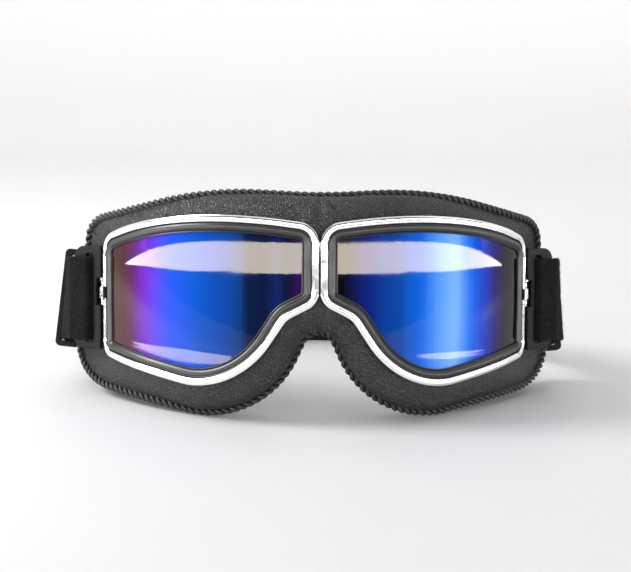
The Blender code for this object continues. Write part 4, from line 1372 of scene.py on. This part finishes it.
def studio_world():
    """A pale light tent with a long strip light over the front.

    The room round the camera is darker, most of all just behind it.  Heights are sines, and ahead
    is the cosine of the bearing from straight in front.
    """
    world = bpy.data.worlds.new("studio")
    bpy.context.scene.world = world
    w = Tree(world)

    def between(value, low, high, soft):
        """1 where value lies between low and high, with soft edges."""
        above = w.times(w.minus(value, low), 1 / soft)
        below = w.times(w.minus(high, value), 1 / soft)
        return w.math("MAXIMUM", w.math("MINIMUM", w.math("MINIMUM", above, below), 1.0), 0.0)

    direction = w.add("ShaderNodeTexCoord").outputs["Generated"]
    x, y, z = (w.axis(direction, name) for name in "XYZ")
    level = w.math("SQRT", w.plus(w.times(x, x), w.times(y, y)))
    ahead = w.math("DIVIDE", w.times(y, -1.0), level)
    wavy = w.add("ShaderNodeTexNoise", Vector=direction, Scale=90.0).outputs["Fac"]
    foot = w.math("MULTIPLY_ADD", ahead, STRIP_SLOPE, STRIP_FOOT)
    over = w.plus(w.minus(z, foot), w.times(w.minus(wavy, 0.5), 0.006))
    aside = w.times(w.minus(STRIP_MIDDLE, ahead), 1 / STRIP_REACH)
    strip = between(over, 0.0, w.times(w.minus(1.0, w.times(aside, aside)), STRIP_HEIGHT), 0.0015)
    shade = 0.0
    for nearest, top, soft, fade, depth in (
        (0.955, 0.45, 0.02, 0.1, 0.8), (-0.9, 0.42, 0.3, 0.16, 0.78), (0.2, 0.93, 0.3, 0.12, 0.7),
    ):
        patch = w.times(between(ahead, nearest, 2.0, soft), between(z, -1.0, top, fade))
        shade = w.math("MAXIMUM", shade, w.times(patch, depth))
    tent = w.times(w.remap(z, -0.2, 0.9, 0.90, 1.02), w.minus(1.0, shade))
    seen = w.add("ShaderNodeLightPath").outputs["Is Camera Ray"]
    lit = w.times(w.plus(tent, w.times(strip, STRIP_POWER)), w.minus(1.0, seen))
    w.put(w.tree.nodes["Background"], "Color", GLOW)
    w.put(w.tree.nodes["Background"], "Strength", w.plus(lit, w.times(seen, PLAIN_BACKGROUND)))


def camera():
    """At the photograph's angle: a long lens, a little left of centre and just above."""
    target = MASK.to_translation() + Vector(CAMERA_AIM)
    back = Vector((math.sin(CAMERA_TURN) * math.cos(CAMERA_RISE),
                   -math.cos(CAMERA_TURN) * math.cos(CAMERA_RISE), math.sin(CAMERA_RISE)))
    view = bpy.data.cameras.new("camera")
    view.lens = CAMERA_LENS
    view.clip_start = 0.01
    made = bpy.data.objects.new("camera", view)
    turn = back.to_track_quat("Z", "Y").to_matrix().to_4x4() @ Matrix.Rotation(CAMERA_ROLL, 4, "Z")
    made.matrix_world = Matrix.Translation(target + back * CAMERA_DISTANCE) @ turn
    bpy.context.scene.collection.objects.link(made)
    bpy.context.scene.camera = made


def glowing_card(name, corners, power):
    """A lit card beside the camera's view, seen only in what mirrors it."""
    mesh = bpy.data.meshes.new(name)
    mesh.from_pydata(corners, [], [tuple(range(len(corners)))])
    mesh.materials.append(Nodes(name).set(Emission_Color=GLOW, Emission_Strength=power))
    card = link_mesh(name, mesh, 180.0)
    card.visible_camera = False


def crescent(start, end, beyond, within, skew, side):
    """The outline of a crescent from tip to tip, bowed away from the object and towards it."""
    start, end = np.array(start), np.array(end)
    along = end - start
    away = -side * unit(np.array([along[1], -along[0]]))
    shares = np.linspace(0.0, 1.0, 17)
    far = [start + t * along + beyond * math.sin(math.pi * t) * away for t in shares]
    near = [start + t * along - within * math.sin(math.pi * t**skew) * away for t in shares[-2:0:-1]]
    return far + near


def table_cards():
    """Narrow curved cards on the table at both sides, which the lenses show low down."""
    left = crescent((-0.223, -0.007), (-0.304, -0.385), 0.044, 0.037, 1.4, -1)
    right = crescent((0.220, -0.037), (0.318, -0.305), 0.020, 0.006, 1.0, 1)
    for name, outline in (("left_table_card", left), ("right_table_card", right)):
        glowing_card(name, [(x, y, 0.002) for x, y in outline], TABLE_CARD_POWER)


def strip_tips():
    """The strip light's ends, which hang in front of the table's far edge."""
    for side in SIDES.values():
        foot, top = [], []
        for ahead in np.linspace(STRIP_MIDDLE - STRIP_REACH, 0.12, 12):
            aside = (STRIP_MIDDLE - ahead) / STRIP_REACH
            for row, lift in ((foot, 0.0), (top, STRIP_HEIGHT * (1 - aside**2))):
                rise = ahead * STRIP_SLOPE + STRIP_FOOT + lift
                turn = math.acos(ahead)
                eye = MASK @ Vector(wrap(WRAP_RADIUS * turn / 2, 11.5 + 170.0 * lift))
                level = math.sqrt(1 - rise * rise)
                spot = eye + TIP_DISTANCE * Vector((math.sin(turn) * level, -ahead * level, rise))
                row.append((side * spot.x, spot.y, spot.z))
        glowing_card("strip_tip", foot + top[:0:-1], STRIP_POWER)


# ---- Assembly ----
bpy.context.scene.view_settings.view_transform = "Standard"
camera()
studio_sweep()
studio_world()
table_cards()
strip_tips()
area_light("key", (-0.50, 0.02, 0.62), (0.25, 0.25), 1.5, (0.0, 0.0, 0.04))
area_light("backdrop_light", (0.0, 0.65, 1.2), (1.6, 0.6), 1.7, (0.0, 0.75, 0.0))
area_light("shoulder_light", (-0.635, -0.03, 0.465), (0.26, 0.26), 4.0, (-0.05, -0.05, 0.078))

carcass()
leather_cover()
edge_lacing()
face_padding()
for side_label, side_sign in SIDES.items():
    rim(side_label, side_sign)
    gasket(side_label, side_sign)
    lens(side_label, side_sign)
    clamp(side_label, side_sign)
    temple_bracket(side_label, side_sign)
    strap_end(side_label, side_sign)
    strap_seam(side_label, side_sign)
    strap_keeper(side_label, side_sign)
elastic_strap()
